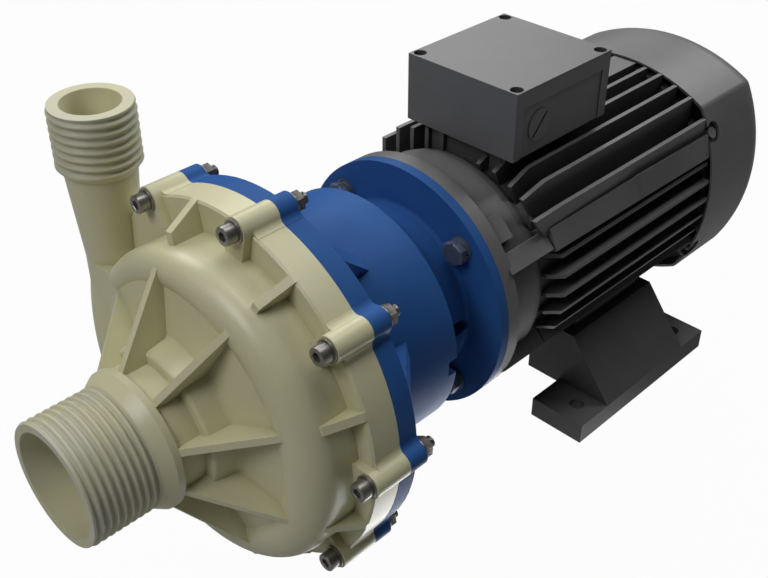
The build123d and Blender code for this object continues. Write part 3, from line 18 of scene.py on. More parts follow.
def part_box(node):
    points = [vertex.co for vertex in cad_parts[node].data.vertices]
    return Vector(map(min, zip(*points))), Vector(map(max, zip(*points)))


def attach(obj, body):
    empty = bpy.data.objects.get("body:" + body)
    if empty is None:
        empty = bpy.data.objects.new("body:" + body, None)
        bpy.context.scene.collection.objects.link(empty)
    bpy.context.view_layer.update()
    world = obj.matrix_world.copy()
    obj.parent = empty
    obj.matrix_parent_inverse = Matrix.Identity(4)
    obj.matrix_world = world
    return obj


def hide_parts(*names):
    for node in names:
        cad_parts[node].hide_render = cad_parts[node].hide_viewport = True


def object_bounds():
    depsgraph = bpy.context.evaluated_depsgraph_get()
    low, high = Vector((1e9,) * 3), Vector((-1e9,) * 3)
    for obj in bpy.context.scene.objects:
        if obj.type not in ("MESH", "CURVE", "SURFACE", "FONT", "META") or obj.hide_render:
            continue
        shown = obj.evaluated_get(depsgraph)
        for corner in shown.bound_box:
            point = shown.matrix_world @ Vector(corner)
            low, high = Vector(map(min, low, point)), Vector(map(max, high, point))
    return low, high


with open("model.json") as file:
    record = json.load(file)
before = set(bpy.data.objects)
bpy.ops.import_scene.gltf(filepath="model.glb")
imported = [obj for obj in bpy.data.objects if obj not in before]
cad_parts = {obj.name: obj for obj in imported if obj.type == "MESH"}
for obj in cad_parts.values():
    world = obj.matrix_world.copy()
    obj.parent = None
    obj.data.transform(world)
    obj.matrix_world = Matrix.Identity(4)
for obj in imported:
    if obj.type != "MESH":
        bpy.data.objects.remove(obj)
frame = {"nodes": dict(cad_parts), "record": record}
nodes = frame["nodes"]
cad_box = [list(corner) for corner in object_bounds()]
MM = 0.001
print("nodes:", len(nodes), "box:", cad_box)

# %% [markdown]
# The reference view looks down on the pump from the front right, with a fairly long lens.
# A real camera has three facts: where it stands, which way it points, and its focal length.
# They were found by matching straight edges of the motor and circles of the nozzles,
# so here they are simply set. The sensor is 36 mm wide.

# %% Camera
CAMERA_PLACE = (0.4853, -0.67687, 0.62023)
CAMERA_TILT = 55.0
CAMERA_TURN = 44.6
CAMERA_LENS = 52.6
camera_data = bpy.data.cameras.new("camera")
camera_data.sensor_width = 36.0
camera_data.lens = CAMERA_LENS
camera_data.clip_end = 50.0
camera = bpy.data.objects.new("camera", camera_data)
camera.location = CAMERA_PLACE
camera.rotation_euler = (radians(CAMERA_TILT), 0.0, radians(CAMERA_TURN))
bpy.context.scene.collection.objects.link(camera)
bpy.context.scene.camera = camera
bpy.context.scene.view_settings.view_transform = "Standard"
print("camera at", CAMERA_PLACE)

# %% [markdown]
# Shader maths is easier to read as plain expressions than as a list of links.
# A Value wraps one socket. Adding, multiplying or subtracting Values adds Math nodes
# to the material's tree, and the reflected forms let a number stand on the left.
# A Tree makes the nodes of a material or of the world, all through one method.
# A Finish is the tree of one material, and its shader is a Principled BSDF.

# %% Shader helpers
class Value:
    """One socket of a node tree, with arithmetic."""

    def __init__(self, tree, socket):
        self.tree = tree
        self.socket = socket

    def math(self, operation, *others):
        return self.tree.node("ShaderNodeMath", {"operation": operation}, [self, *others])

    def __add__(self, other):
        return self.math("ADD", other)

    def __radd__(self, other):
        return self.math("ADD", other)

    def __sub__(self, other):
        return self.math("SUBTRACT", other)

    def __rsub__(self, other):
        return self.tree.node("ShaderNodeMath", {"operation": "SUBTRACT"}, [other, self])

    def __mul__(self, other):
        return self.math("MULTIPLY", other)

    def __rmul__(self, other):
        return self.math("MULTIPLY", other)

    def ramp(self, low, high):
        """0 below low, 1 above high, smooth between."""
        sockets = {"Value": self, "From Min": low, "From Max": high}
        return self.tree.node("ShaderNodeMapRange", {"interpolation_type": "SMOOTHSTEP"}, sockets)


class Tree:
    """A node tree that adds and links nodes in one call."""

    def __init__(self, tree):
        self.tree = tree

    def node(self, kind, settings=None, sockets=(), output=0):
        """Adds a node: settings first, then sockets by name or in order."""
        made = self.tree.nodes.new(kind)
        for key, value in (settings or {}).items():
            setattr(made, key, value)
        pairs = sockets.items() if isinstance(sockets, dict) else enumerate(sockets)
        for key, value in pairs:
            if isinstance(value, Value):
                self.tree.links.new(value.socket, made.inputs[key])
            elif value is not None:
                made.inputs[key].default_value = value
        return Value(self, made.outputs[output])

    def link(self, value, name, socket):
        """Links a value to a socket of a node that the tree already has."""
        self.tree.links.new(value.socket, self.tree.nodes[name].inputs[socket])


class Finish(Tree):
    """A material with a Principled shader and short calls for its patterns."""

    def __init__(self, name, roughness=0.5, metallic=0.0, **constants):
        self.material = bpy.data.materials.new(name)
        self.material.use_nodes = True
        super().__init__(self.material.node_tree)
        self.shader = self.tree.nodes["Principled BSDF"]
        self.shader.inputs["Roughness"].default_value = roughness
        self.shader.inputs["Metallic"].default_value = metallic
        for key, value in constants.items():
            self.shader.inputs[key.replace("_", " ")].default_value = value

    def place(self):
        """Position on the object, in metres."""
        return self.node("ShaderNodeTexCoord", output="Object")

    def noise(self, scale, detail=3.0, roughness=0.55, stretch=None):
        """Soft random pattern, with its scale in waves per metre."""
        vector = self.place()
        if stretch:
            vector = self.node("ShaderNodeMapping", {}, {"Vector": vector, "Scale": stretch})
        sockets = {"Vector": vector, "Scale": scale, "Detail": detail, "Roughness": roughness}
        return self.node("ShaderNodeTexNoise", {}, sockets, "Fac")

    def mix(self, factor, first, second):
        """Mix of two colours."""
        return self.node("ShaderNodeMix", {"data_type": "RGBA"}, {0: factor, 6: first, 7: second}, 2)

    def hollow(self, distance):
        """1 in the open, falling towards 0 in corners and under ledges."""
        return self.node("ShaderNodeAmbientOcclusion", {"samples": 8}, {"Distance": distance}, "AO")

    def rounded(self, radius):
        """Normal that rounds sharp edges by a radius."""
        return self.node("ShaderNodeBevel", {"samples": 6}, {"Radius": radius}, "Normal")

    def edge(self, radius):
        """1 close to a sharp edge and 0 on open faces."""
        hard = self.node("ShaderNodeNewGeometry", output="Normal")
        settings = {"operation": "DOT_PRODUCT"}
        same = self.node("ShaderNodeVectorMath", settings, [self.rounded(radius), hard], "Value")
        return (1.0 - same).ramp(0.02, 0.25)

    def bump(self, height, distance, strength=1.0, normal=None):
        """Links a height pattern to the shader's normal."""
        sockets = {"Height": height, "Distance": distance, "Strength": strength, "Normal": normal}
        self.feed("Normal", self.node("ShaderNodeBump", {}, sockets))

    def feed(self, socket, value):
        """Links a value to one socket of the shader."""
        self.link(value, "Principled BSDF", socket)


def rgb(red, green, blue):
    """Linear colour from the 0 to 255 numbers of a colour picker."""
    parts = []
    for part in (red, green, blue):
        part = part / 255.0
        parts.append(part / 12.92 if part <= 0.04045 else ((part + 0.055) / 1.055) ** 2.4)
    return (*parts, 1.0)


# %% [markdown]
# The casing is moulded polypropylene, left in its own pale olive cream.
# Close up it isn't one flat colour: it clouds slightly where the melt cooled, and its
# corners are painted darker as painted shade. The surface is smooth with a faint waviness
# from the mould. The threads take a greyer copy of the cream, which is painted shade, and
# their grooves are painted much darker as painted shade too. For this finish and the next,
# reach is how far in metres a corner's painted shade spreads, and depth is how strong it is.

# %% Cream moulded plastic
CREAM = rgb(214, 211, 172)
CREAM_LIGHT = rgb(219, 216, 180)
CREAM_SPECK = rgb(192, 188, 150)
# Painted shade: the tone laid into the casing's corners.
CREAM_CORNER_SHADE = rgb(160, 153, 112)
# Painted shade: a greyer cream for the threads, and the dark tone of their grooves.
SHADED_THREAD_CREAM = rgb(208, 206, 188)
THREAD_GROOVE_SHADE = rgb(96, 94, 80)


def cream(name, base, light, corner_shade, reach, depth, roughness):
    """Clouded plastic with fine specks and painted shade in its corners."""
    finish = Finish(name, roughness=roughness)
    cloud = finish.noise(14.0)
    speck = finish.noise(380.0, detail=2.0)
    tone = finish.mix(cloud.ramp(0.3, 0.7), base, light)
    tone = finish.mix(speck.ramp(0.66, 0.8) * 0.12, tone, CREAM_SPECK)
    # Painted shade: the base colour darkens towards the corner tone where ambient occlusion is low.
    corner = 1.0 - finish.hollow(reach)
    finish.feed("Base Color", finish.mix(corner * depth, tone, corner_shade))
    finish.feed("Roughness", cloud * 0.1 + (roughness - 0.05) + corner * 0.2)
    wave = finish.noise(60.0, detail=2.0)
    normal = finish.rounded(0.0003)
    finish.bump(wave + speck * 0.05, distance=0.0004, strength=0.18, normal=normal)
    return finish.material


def cream_plastic():
    return cream(
        "cream_plastic", CREAM, CREAM_LIGHT, CREAM_CORNER_SHADE, reach=0.008, depth=0.35, roughness=0.33)


# The threads' greyer tone and their dark grooves are painted shade.
def cream_thread():
    return cream(
        "cream_thread", SHADED_THREAD_CREAM, CREAM, THREAD_GROOVE_SHADE, reach=0.0035, depth=1.0, roughness=0.45)


# %% [markdown]
# Blue and grey paint lie on cast metal. Paint has three scales: the broad ripple of the
# casting below, the fine orange peel of the sprayed coat, and wear where edges are
# touched. The wear mask compares the true normal with one rounded by the Bevel node:
# they differ only near an edge. Narrow places, such as the gaps between the fins, are
# painted darker where ambient occlusion is low, which is painted shade.

# %% Painted metal
def painted(name, base, shade, dark, worn, roughness, peel, ripple, reach, depth, **constants):
    """Paint on a casting: two close tones, a dark one painted as shade into corners and a worn one for
    edges.
    """
    finish = Finish(name, roughness=roughness, **constants)
    broad = finish.noise(24.0, detail=4.0)
    fine = finish.noise(peel, detail=2.0)
    tone = finish.mix(broad.ramp(0.3, 0.7), base, shade)
    # Painted shade: the tone darkens towards the dark one where ambient occlusion is low.
    corner = 1.0 - finish.hollow(reach)
    tone = finish.mix(corner * depth, tone, dark)
    scuffs = finish.edge(0.0007) * finish.noise(130.0, detail=4.0).ramp(0.46, 0.7)
    finish.feed("Base Color", finish.mix(scuffs * 0.3, tone, worn))
    finish.feed("Roughness", broad * 0.14 + (roughness - 0.07) + scuffs * 0.15 + corner * 0.2)
    height = fine * 0.15 + finish.noise(60.0, detail=2.0) * ripple
    finish.bump(height, distance=0.0004, strength=0.3, normal=finish.rounded(0.0004))
    return finish.material


# The blue's painted shade darkens the crease between the drum and the neck of the lantern.
def blue_paint():
    return painted(
        "blue_paint", rgb(46, 91, 156), rgb(50, 96, 161), dark=rgb(13, 27, 50), worn=rgb(90, 132, 184),
        roughness=0.5, peel=1500.0, ripple=0.6, reach=0.006, depth=0.5, Specular_IOR_Level=0.08)


# The grey's painted shade reaches far and is strong, so the gaps between the fins turn nearly black.
def grey_paint():
    return painted(
        "grey_paint", rgb(106, 106, 107), rgb(113, 113, 114), dark=rgb(14, 14, 15),
        worn=rgb(146, 146, 144), roughness=0.46, peel=2100.0, ripple=0.4, reach=0.024, depth=0.85)


# Painted shade: a darker copy of the grey paint for the feet, which lie in the motor's shadow.
def shaded_foot_paint():
    return painted(
        "shaded_foot_paint", rgb(80, 80, 81), rgb(86, 86, 87), dark=rgb(20, 20, 21), worn=rgb(120, 120, 119),
        roughness=0.5, peel=2100.0, ripple=0.4, reach=0.008, depth=0.5, Specular_IOR_Level=0.15)


# %% [markdown]
# Bare metals are told apart by colour, roughness and the direction of their fine marks.
# Turned parts have rings round the axis, drawn bars have lines along it, and castings
# have neither. A noise of so many grains per metre, stretched along or around, gives each
# its marks for bump and roughness alike, and stain is how much of it is dark in patches.
# Nuts and flange bolts are dulled by their coating, so they are only partly metallic.

# %% Bare metals
def metal(name, light, dark, roughness, grain, stretch=(1.0, 1.0, 1.0), stain=0.3, metallic=1.0):
    """Metal whose grain runs between a light and a dark tone."""
    finish = Finish(name, roughness=roughness, metallic=metallic)
    marks = finish.noise(grain, roughness=0.6, stretch=stretch)
    patches = finish.noise(70.0, detail=4.0).ramp(0.5, 0.8)
    tone = finish.mix(marks, dark, light)
    finish.feed("Base Color", finish.mix(patches * stain, tone, dark))
    finish.feed("Roughness", marks * 0.14 + (roughness - 0.07) + patches * 0.12)
    finish.bump(marks, distance=0.0001, strength=0.2, normal=finish.rounded(0.0002))
    return finish.material


def stainless_steel():
    return metal(
        "stainless_steel", rgb(172, 168, 163), rgb(134, 131, 127), roughness=0.36, grain=260.0,
        stretch=(1.0, 0.2, 1.0), stain=0.2, metallic=0.85)


def gunmetal():
    return metal(
        "gunmetal", rgb(122, 120, 117), rgb(92, 90, 88), roughness=0.5, grain=420.0, metallic=0.6)


def zinc_steel():
    return metal(
        "zinc_steel", rgb(112, 120, 138), rgb(88, 96, 114), roughness=0.5, grain=300.0, stain=0.2,
        metallic=0.5)


def bearing_steel():
    return metal("bearing_steel", rgb(220, 220, 222), rgb(180, 180, 184), roughness=0.12, grain=600.0)


def shaft_steel():
    return metal(
        "shaft_steel", rgb(190, 190, 190), rgb(140, 140, 142), roughness=0.25, grain=700.0,
        stretch=(1.0, 12.0, 1.0))


def core_steel():
    return metal(
        "core_steel", rgb(120, 118, 116), rgb(70, 68, 66), roughness=0.4, grain=2000.0,
        stretch=(0.02, 1.0, 0.02))


def cast_iron():
    return metal("cast_iron", rgb(110, 108, 106), rgb(70, 68, 66), roughness=0.5, grain=500.0)


def magnet():
    return metal("magnet", rgb(150, 150, 152), rgb(110, 110, 114), roughness=0.3, grain=400.0)


def brass():
    return metal("brass", rgb(214, 178, 98), rgb(160, 124, 58), roughness=0.28, grain=800.0)


def copper_winding():
    return metal(
        "copper_winding", rgb(178, 96, 48), rgb(96, 44, 20), roughness=0.35, grain=1600.0,
        stretch=(0.3, 1.0, 0.3))


# %% [markdown]
# The last finishes are rubber, moulded plastics, carbon and ceramic. They are plain
# dielectrics, so their look is in the base colour, the roughness and a little bump.

# %% Rubber, plastics and ceramic
def smooth(name, base, other, roughness, grain):
    """Even surface with two close tones and a fine grain."""
    finish = Finish(name, roughness=roughness)
    fine = finish.noise(grain)
    broad = finish.noise(30.0)
    finish.feed("Base Color", finish.mix(broad.ramp(0.3, 0.7), base, other))
    finish.feed("Roughness", fine * 0.12 + (roughness - 0.06))
    finish.bump(fine, distance=0.0002, strength=0.4, normal=finish.rounded(0.0004))
    return finish.material


def rubber():
    return smooth("rubber", rgb(34, 34, 34), rgb(42, 42, 42), roughness=0.65, grain=900.0)


def ceramic():
    return smooth("ceramic", rgb(236, 234, 226), rgb(226, 223, 212), roughness=0.25, grain=600.0)


def carbon():
    return smooth("carbon", rgb(46, 46, 48), rgb(58, 58, 60), roughness=0.35, grain=500.0)


def black_plastic():
    return smooth("black_plastic", rgb(34, 35, 37), rgb(42, 43, 45), roughness=0.45, grain=1200.0)


# %% [markdown]
# Every CAD node names the slot of its material in the record. One loop gives each node
# the finish of that name, so a new node never stays plain. The small screws of the fan
# cover are sprayed over together with it, so they take its paint, and the two feet take a
# darker copy of the grey paint, which is painted shade of the motor above them.

# %% Give every node its finish
makers = [
    cream_plastic, cream_thread, blue_paint, grey_paint, shaded_foot_paint,
    stainless_steel, gunmetal, zinc_steel, bearing_steel, shaft_steel, core_steel, cast_iron,
    magnet, brass, copper_winding, rubber, ceramic, carbon, black_plastic,
]
finishes = {maker.__name__: maker() for maker in makers}
slot_of = {part["node"]: part["material_slot"] for part in frame["record"]["subparts"]}
for name, obj in nodes.items():
    obj.data.materials.clear()
    obj.data.materials.append(finishes[slot_of[name]])
nodes["fan_cover_screws"].data.materials[0] = finishes["grey_paint"]
for name in ("foot_left", "foot_right"):
    nodes[name].data.materials[0] = finishes["shaded_foot_paint"]
print("finishes:", len(finishes))


# %% [markdown]
# New pieces are made with bmesh, Blender's mesh library. One function turns a finished
# bmesh into an object, gives it a material, and lets it ride on a body of the frame.
# A copied CAD mesh brings stored normals with it. They no longer fit once points are
# merged or moved, so they are dropped and Blender works the normals out anew.

# %% Make a piece
def piece(name, bm, slot, body, *replaced, finish=None, sharp=35):
    """Object from a bmesh, which rides on a body and may stand for CAD nodes."""
    mesh = bpy.data.meshes.new(name)
    bmesh.ops.recalc_face_normals(bm, faces=bm.faces)
    bm.to_mesh(mesh)
    bm.free()
    if "custom_normal" in mesh.attributes:
        mesh.attributes.remove(mesh.attributes["custom_normal"])
    obj = bpy.data.objects.new(name, mesh)
    bpy.context.scene.collection.objects.link(obj)
    mesh.materials.append(finishes[finish or slot])
    mesh.shade_smooth()
    mesh.set_sharp_from_angle(angle=radians(sharp))
    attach(obj, body)
    if replaced:
        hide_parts(*replaced)
    print(name, len(mesh.polygons), "faces")
    return obj


def skin(bm, loops, matrix, closed=False, start_cap=False, end_cap=False):
    """Surface through loops of points that all have the same count."""
    rings = [[bm.verts.new(matrix @ Vector(point)) for point in loop] for loop in loops]
    pairs = list(zip(rings, rings[1:]))
    if closed:
        pairs.append((rings[-1], rings[0]))
    for first, second in pairs:
        count = len(first)
        for k in range(count):
            after = (k + 1) % count
            bm.faces.new((first[k], first[after], second[after], second[k]))
    if start_cap:
        bm.faces.new(rings[0])
    if end_cap:
        bm.faces.new(rings[-1])


def loop(height, turns, radius_at):
    """Closed loop round local Z whose radius is a function of the angle."""
    points = []
    for k in range(turns):
        angle = 2 * pi * k / turns
        radius = radius_at(angle)
        points.append((radius * cos(angle), radius * sin(angle), height))
    return points


def circle(height, radius, turns):
    return loop(height, turns, lambda angle: radius)


def hexagon(height, half_flats, turns, limit=None):
    """Hexagonal loop, trimmed to a circle where a limit is given, as a chamfer does."""
    def radius_at(angle):
        radius = half_flats / cos((angle + pi / 6) % (pi / 3) - pi / 6)
        return radius if limit is None else min(radius, limit)
    return loop(height, turns, radius_at)


def thread_loops(top, bottom, major, depth, pitch, turns, steps, runout):
    """Loops of a helical thread from one height down to another, fading at its ends."""
    rows = max(2, round((top - bottom) / pitch * steps))
    loops = []
    for row in range(rows + 1):
        height = top + (bottom - top) * row / rows
        fade = max(0.0, min(1.0, (top - height) / runout, (height - bottom) / runout))
        lead = max(0.0, 1.0 - (top - height) / runout) * depth * 0.6

        def radius_at(angle, height=height, fade=fade, lead=lead):
            groove = 0.5 - 0.5 * cos(2 * pi * height / pitch + angle)
            return major - lead - depth * fade * groove
        loops.append(loop(height, turns, radius_at))
    return loops


# %% [markdown]
# The nozzles carry coarse, rounded pipe threads. A thread is a helix: at each height its
# ridge is turned a little further. So each nozzle is a grid of points over angle and
# height whose radius swells and shrinks with height plus turn, and fades at both ends.
# The ridges stay a hair inside the radius of the solid nozzle, so that nothing passes the
# box of the CAD model. That nozzle is trimmed away where the thread takes its place.

# %% Threads of the nozzles
THREAD_TURNS = 160
THREAD_STEPS = 14
THREAD_DEPTH = 1.9 * MM
THREAD_OVERLAP = 1.0 * MM
THREAD_HAIR = 0.05 * MM
SUCTION_BORE = 36.8 * MM
SUCTION_THREAD = 48.3 * MM
SUCTION_RIDGES = 9
DISCHARGE_BORE = 20.3 * MM
DISCHARGE_THREAD = 43.0 * MM
DISCHARGE_RIDGES = 7


def thread_nozzle(name, radius, bore, length, ridges, matrix):
    """Threaded tube whose open end lies at local height 0 and whose body runs down from it."""
    major = radius - THREAD_HAIR
    pitch = length / ridges
    runout = pitch * 0.4
    loops = thread_loops(0.0, -length, major, THREAD_DEPTH, pitch, THREAD_TURNS, THREAD_STEPS, runout)
    foot = -length - THREAD_OVERLAP
    loops += [
        circle(foot, major - THREAD_OVERLAP, THREAD_TURNS), circle(foot, bore, THREAD_TURNS),
        circle(-THREAD_OVERLAP, bore, THREAD_TURNS),
        circle(0.0, bore + THREAD_OVERLAP * 0.5, THREAD_TURNS),
    ]
    bm = bmesh.new()
    skin(bm, loops, matrix, closed=True)
    piece(name, bm, "cream_plastic", "housing", finish="cream_thread")


mounts = {mount["name"]: mount for mount in frame["record"]["mounts"]}
suction = mounts["suction_thread"]
discharge = mounts["discharge_thread"]
low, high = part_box("pump_casing")
facing_front = Matrix.Rotation(radians(90), 4, "X")
suction_end = Vector((0.0, low[1], suction["pos_m"][2]))
discharge_end = Vector((discharge["pos_m"][0], discharge["pos_m"][1], high[2]))
thread_nozzle(
    "suction_nozzle", suction["dims"]["r_mm"] * MM, SUCTION_BORE, SUCTION_THREAD, SUCTION_RIDGES,
    Matrix.Translation(suction_end) @ facing_front)
thread_nozzle(
    "discharge_nozzle", discharge["dims"]["r_mm"] * MM, DISCHARGE_BORE, DISCHARGE_THREAD,
    DISCHARGE_RIDGES, Matrix.Translation(discharge_end))

# %% [markdown]
# Screws and nuts are small, but the eye knows them well. A socket screw is a stack of
# loops: the hexagonal socket, a chamfered head, a plain shank, and a fine thread where its
# end shows behind the nut. A nut is a hexagon trimmed by a circle that shrinks towards
# each face, which draws the curved chamfer lines of a real nut. Every one is turned by an
# angle of its own, as fitters leave them.

# %% Screws, nuts and bolts
FINE_TURNS = 48
HEAD = 6.5 * MM
HEAD_HEIGHT = 8.0 * MM
SHANK = 4.0 * MM
SOCKET = 3.0 * MM
SOCKET_DEPTH = 4.0 * MM
SCREW_THREAD = 14.0 * MM
SCREW_PITCH = 1.25 * MM
SCREW_GROOVE = 0.6 * MM
SCREW_STEPS = 8
SCREW_RUNOUT = 0.3 * MM
LONG_SCREW = 50.0 * MM
NUT_HALF = 6.5 * MM
NUT_BORE = SHANK + 0.02 * MM
NUT_TRIM = 0.97
NUT_CHAMFER = 0.4 * MM
BOLT_HALF = 8.5 * MM
BOLT_TRIM = 0.94
BOLT_FACE = 0.96
BOLT_FACE_HEIGHT = 0.4 * MM
BOLT_HEIGHT = 6.4 * MM
BOLT_SHANK = 5.0 * MM
SPRING_INNER = 5.1 * MM
SPRING_OUTER = 9.0 * MM
SPRING_GAP = 0.16
SPRING_RISE = 0.5 * MM
SPRING_STEPS = 60


def socket_screw(bm, matrix, length):
    """Socket screw: head top at local 0, shank down local -Z, threaded over its last part."""
    tip = -HEAD_HEIGHT - length
    loops = [
        hexagon(-SOCKET_DEPTH, SOCKET * 0.98, FINE_TURNS), hexagon(-0.35 * MM, SOCKET, FINE_TURNS),
        hexagon(0.0, SOCKET * 1.1, FINE_TURNS), circle(0.0, HEAD - 0.9 * MM, FINE_TURNS),
        circle(-0.25 * MM, HEAD - 0.3 * MM, FINE_TURNS), circle(-0.8 * MM, HEAD, FINE_TURNS),
        circle(0.3 * MM - HEAD_HEIGHT, HEAD, FINE_TURNS),
        circle(-HEAD_HEIGHT, HEAD - 0.3 * MM, FINE_TURNS), circle(-HEAD_HEIGHT, SHANK, FINE_TURNS),
    ]
    top, bottom = tip + SCREW_THREAD, tip + SCREW_GROOVE
    loops += thread_loops(
        top, bottom, SHANK, SCREW_GROOVE, SCREW_PITCH, FINE_TURNS, SCREW_STEPS, SCREW_RUNOUT)
    loops.append(circle(tip, SHANK - 0.8 * MM, FINE_TURNS))
    skin(bm, loops, matrix, start_cap=True, end_cap=True)


def hexagon_nut(bm, matrix, half_flats, height, bore):
    """Nut from local 0 to its height, chamfered on both faces, with a hole."""
    corner, trim_to = half_flats / cos(pi / 6), half_flats * NUT_TRIM
    rise = (corner - trim_to) * 0.5
    loops = [
        circle(0.0, bore, FINE_TURNS), hexagon(0.0, half_flats, FINE_TURNS, trim_to),
        hexagon(rise, half_flats, FINE_TURNS), hexagon(height - rise, half_flats, FINE_TURNS),
        hexagon(height, half_flats, FINE_TURNS, trim_to),
        circle(height, bore + NUT_CHAMFER, FINE_TURNS), circle(height - NUT_CHAMFER, bore, FINE_TURNS),
    ]
    skin(bm, loops, matrix, closed=True)


def hexagon_bolt(bm, matrix, half_flats, height, shank, length):
    """Hexagon bolt: head top at local 0 and shank down local -Z."""
    corner, trim_to, face = half_flats / cos(pi / 6), half_flats * BOLT_TRIM, half_flats * BOLT_FACE
    rise = (corner - trim_to) * 0.5
    face_top = BOLT_FACE_HEIGHT - height
    loops = [
        hexagon(0.0, half_flats, FINE_TURNS, trim_to), hexagon(-rise, half_flats, FINE_TURNS),
        hexagon(face_top, half_flats, FINE_TURNS), circle(face_top, face, FINE_TURNS),
        circle(-height, face, FINE_TURNS),
        circle(-height, shank, FINE_TURNS), circle(-height - length, shank, FINE_TURNS),
    ]
    skin(bm, loops, matrix, start_cap=True, end_cap=True)


def split_ring(bm, matrix, inner, outer, thickness, gap, rise):
    """Spring washer: a flat ring that is cut through and sprung apart by a small rise."""
    loops = []
    for k in range(SPRING_STEPS + 1):
        part = k / SPRING_STEPS
        angle = gap / 2 + (2 * pi - gap) * part
        lift = rise * (part - 0.5)
        across = Vector((cos(angle), sin(angle), 0.0))
        corners = [(inner, 0.0), (outer, 0.0), (outer, thickness), (inner, thickness)]
        points = [across * radius + Vector((0.0, 0.0, height + lift)) for radius, height in corners]
        loops.append(points)
    skin(bm, loops, matrix, start_cap=True, end_cap=True)


def copied(node):
    """Copy of a node's mesh with its doubled points merged."""
    bm = bmesh.new()
    bm.from_mesh(nodes[node].data)
    bmesh.ops.remove_doubles(bm, verts=bm.verts, dist=1e-6)
    return bm


def solid_boxes(node):
    """Low and high corner of each separate solid of a node, in the order of its points."""
    bm = copied(node)
    seen = set()
    boxes = []
    for start in bm.verts:
        if start in seen:
            continue
        island, waiting = [], [start]
        while waiting:
            vert = waiting.pop()
            if vert not in seen:
                seen.add(vert)
                island.append(vert)
                waiting.extend(link.other_vert(vert) for link in vert.link_edges)
        corners = []
        for pick in (min, max):
            corners.append(Vector([pick(vert.co[axis] for vert in island) for axis in range(3)]))
        boxes.append(corners)
    bm.free()
    return boxes


def along_shaft(x, y, z, forward, spin=0.0):
    """Frame at a point whose local Z points to the suction side, or away from it."""
    tilt = Matrix.Rotation(radians(90 if forward else -90), 4, "X")
    return Matrix.Translation((x, y, z)) @ tilt @ Matrix.Rotation(spin, 4, "Z")


def screws():
    bm = bmesh.new()
    for number, (low, high) in enumerate(solid_boxes("casing_screws")):
        x, z = (low.x + high.x) / 2, (low.z + high.z) / 2
        front = high.y - low.y > LONG_SCREW
        matrix = along_shaft(x, low.y if front else high.y, z, front, 0.7 * number)
        socket_screw(bm, matrix, high.y - low.y - HEAD_HEIGHT)
    piece("socket_screws", bm, "stainless_steel", "housing", "casing_screws")


def nuts():
    bm = bmesh.new()
    for number, (low, high) in enumerate(solid_boxes("casing_nuts")):
        x, z = (low.x + high.x) / 2, (low.z + high.z) / 2
        matrix = along_shaft(x, high.y, z, True, 1.1 * number)
        hexagon_nut(bm, matrix, NUT_HALF, high.y - low.y, NUT_BORE)
    piece("hexagon_nuts", bm, "stainless_steel", "housing", "casing_nuts", finish="gunmetal")


def bolts():
    heads, rings = bmesh.new(), bmesh.new()
    for number, (low, high) in enumerate(solid_boxes("flange_bolts")):
        x, z = (low.x + high.x) / 2, (low.z + high.z) / 2
        matrix = along_shaft(x, low.y, z, True, 0.9 * number)
        length = high.y - low.y - BOLT_HEIGHT
        hexagon_bolt(heads, matrix, BOLT_HALF, BOLT_HEIGHT, BOLT_SHANK, length)
    for number, (low, high) in enumerate(solid_boxes("flange_spring_washers")):
        x, z = (low.x + high.x) / 2, (low.z + high.z) / 2
        matrix = along_shaft(x, high.y, z, True, 1.7 * number)
        thickness = high.y - low.y
        split_ring(rings, matrix, SPRING_INNER, SPRING_OUTER, thickness, SPRING_GAP, SPRING_RISE)
    piece("hexagon_bolts", heads, "zinc_steel", "housing", "flange_bolts")
    piece("split_washers", rings, "zinc_steel", "housing", "flange_spring_washers")


screws()
nuts()
bolts()


# %% [markdown]
# Nine bosses stand round the rings of the casing and of the lantern. In the photograph
# they are a little slimmer than in the frame and flow into the rim with small hollows.
# In a copy of each mesh the points on a boss's wall are drawn in towards its axis, and
# a wedge with a hollow back fills each corner. Its hollow is an arc whose centre lies at
# the same distance outside the boss and outside the rim.

# %% Slimmer bosses
MOTOR_FACE = -159.0 * MM
RING_FRONT = MOTOR_FACE - 170.5 * MM
RING_PARTING = MOTOR_FACE - 148.0 * MM
RING_REAR = MOTOR_FACE - 133.0 * MM
BOSS_WALL = 12.0 * MM
BOSS_SLIM = 9.3 * MM
BOSS_FOOT = 36.5 * MM
FOOT_TAPER = 4.0 * MM / BOSS_FOOT
FOOT_SLIM_TAPER = 2.3 * MM / BOSS_FOOT
BOSS_HOLLOW = 6.0 * MM
HOLLOW_STEPS = 8
HOLLOW_OVERLAP = 2.0 * MM
RING_CHAMFER = 1.0 * MM
NEAR = 0.05 * MM
shaft = Vector((0.0, 0.0, suction["pos_m"][2]))
boss_axes = []
for low, high in solid_boxes("casing_screws"):
    boss_axes.append(Vector(((low.x + high.x) / 2, 0.0, (low.z + high.z) / 2)))
BOSS_CIRCLE = (boss_axes[0] - shaft).length
print("bosses:", len(boss_axes), "on a circle of", round(BOSS_CIRCLE / MM, 2), "mm")


def slim_bosses(bm):
    """Draws the walls of the bosses, and of the feet that lead to them, towards their axes."""
    for vert in bm.verts:
        flat = Vector((vert.co.x, 0.0, vert.co.z))
        axis = min(boss_axes, key=lambda place: (place - flat).length)
        outward = (axis - shaft).normalized()
        side = Vector((-outward.z, 0.0, outward.x))
        away = flat - axis
        along, across = away.dot(outward), away.dot(side)
        wall = BOSS_WALL + along * FOOT_TAPER
        slim = BOSS_SLIM + along * FOOT_SLIM_TAPER
        if abs(away.length - BOSS_WALL) < NEAR:
            vert.co += away * (BOSS_SLIM / BOSS_WALL - 1.0)
        elif -BOSS_FOOT < along < 0.0 and abs(abs(across) - wall) < NEAR:
            vert.co += side * across * (slim / wall - 1.0)


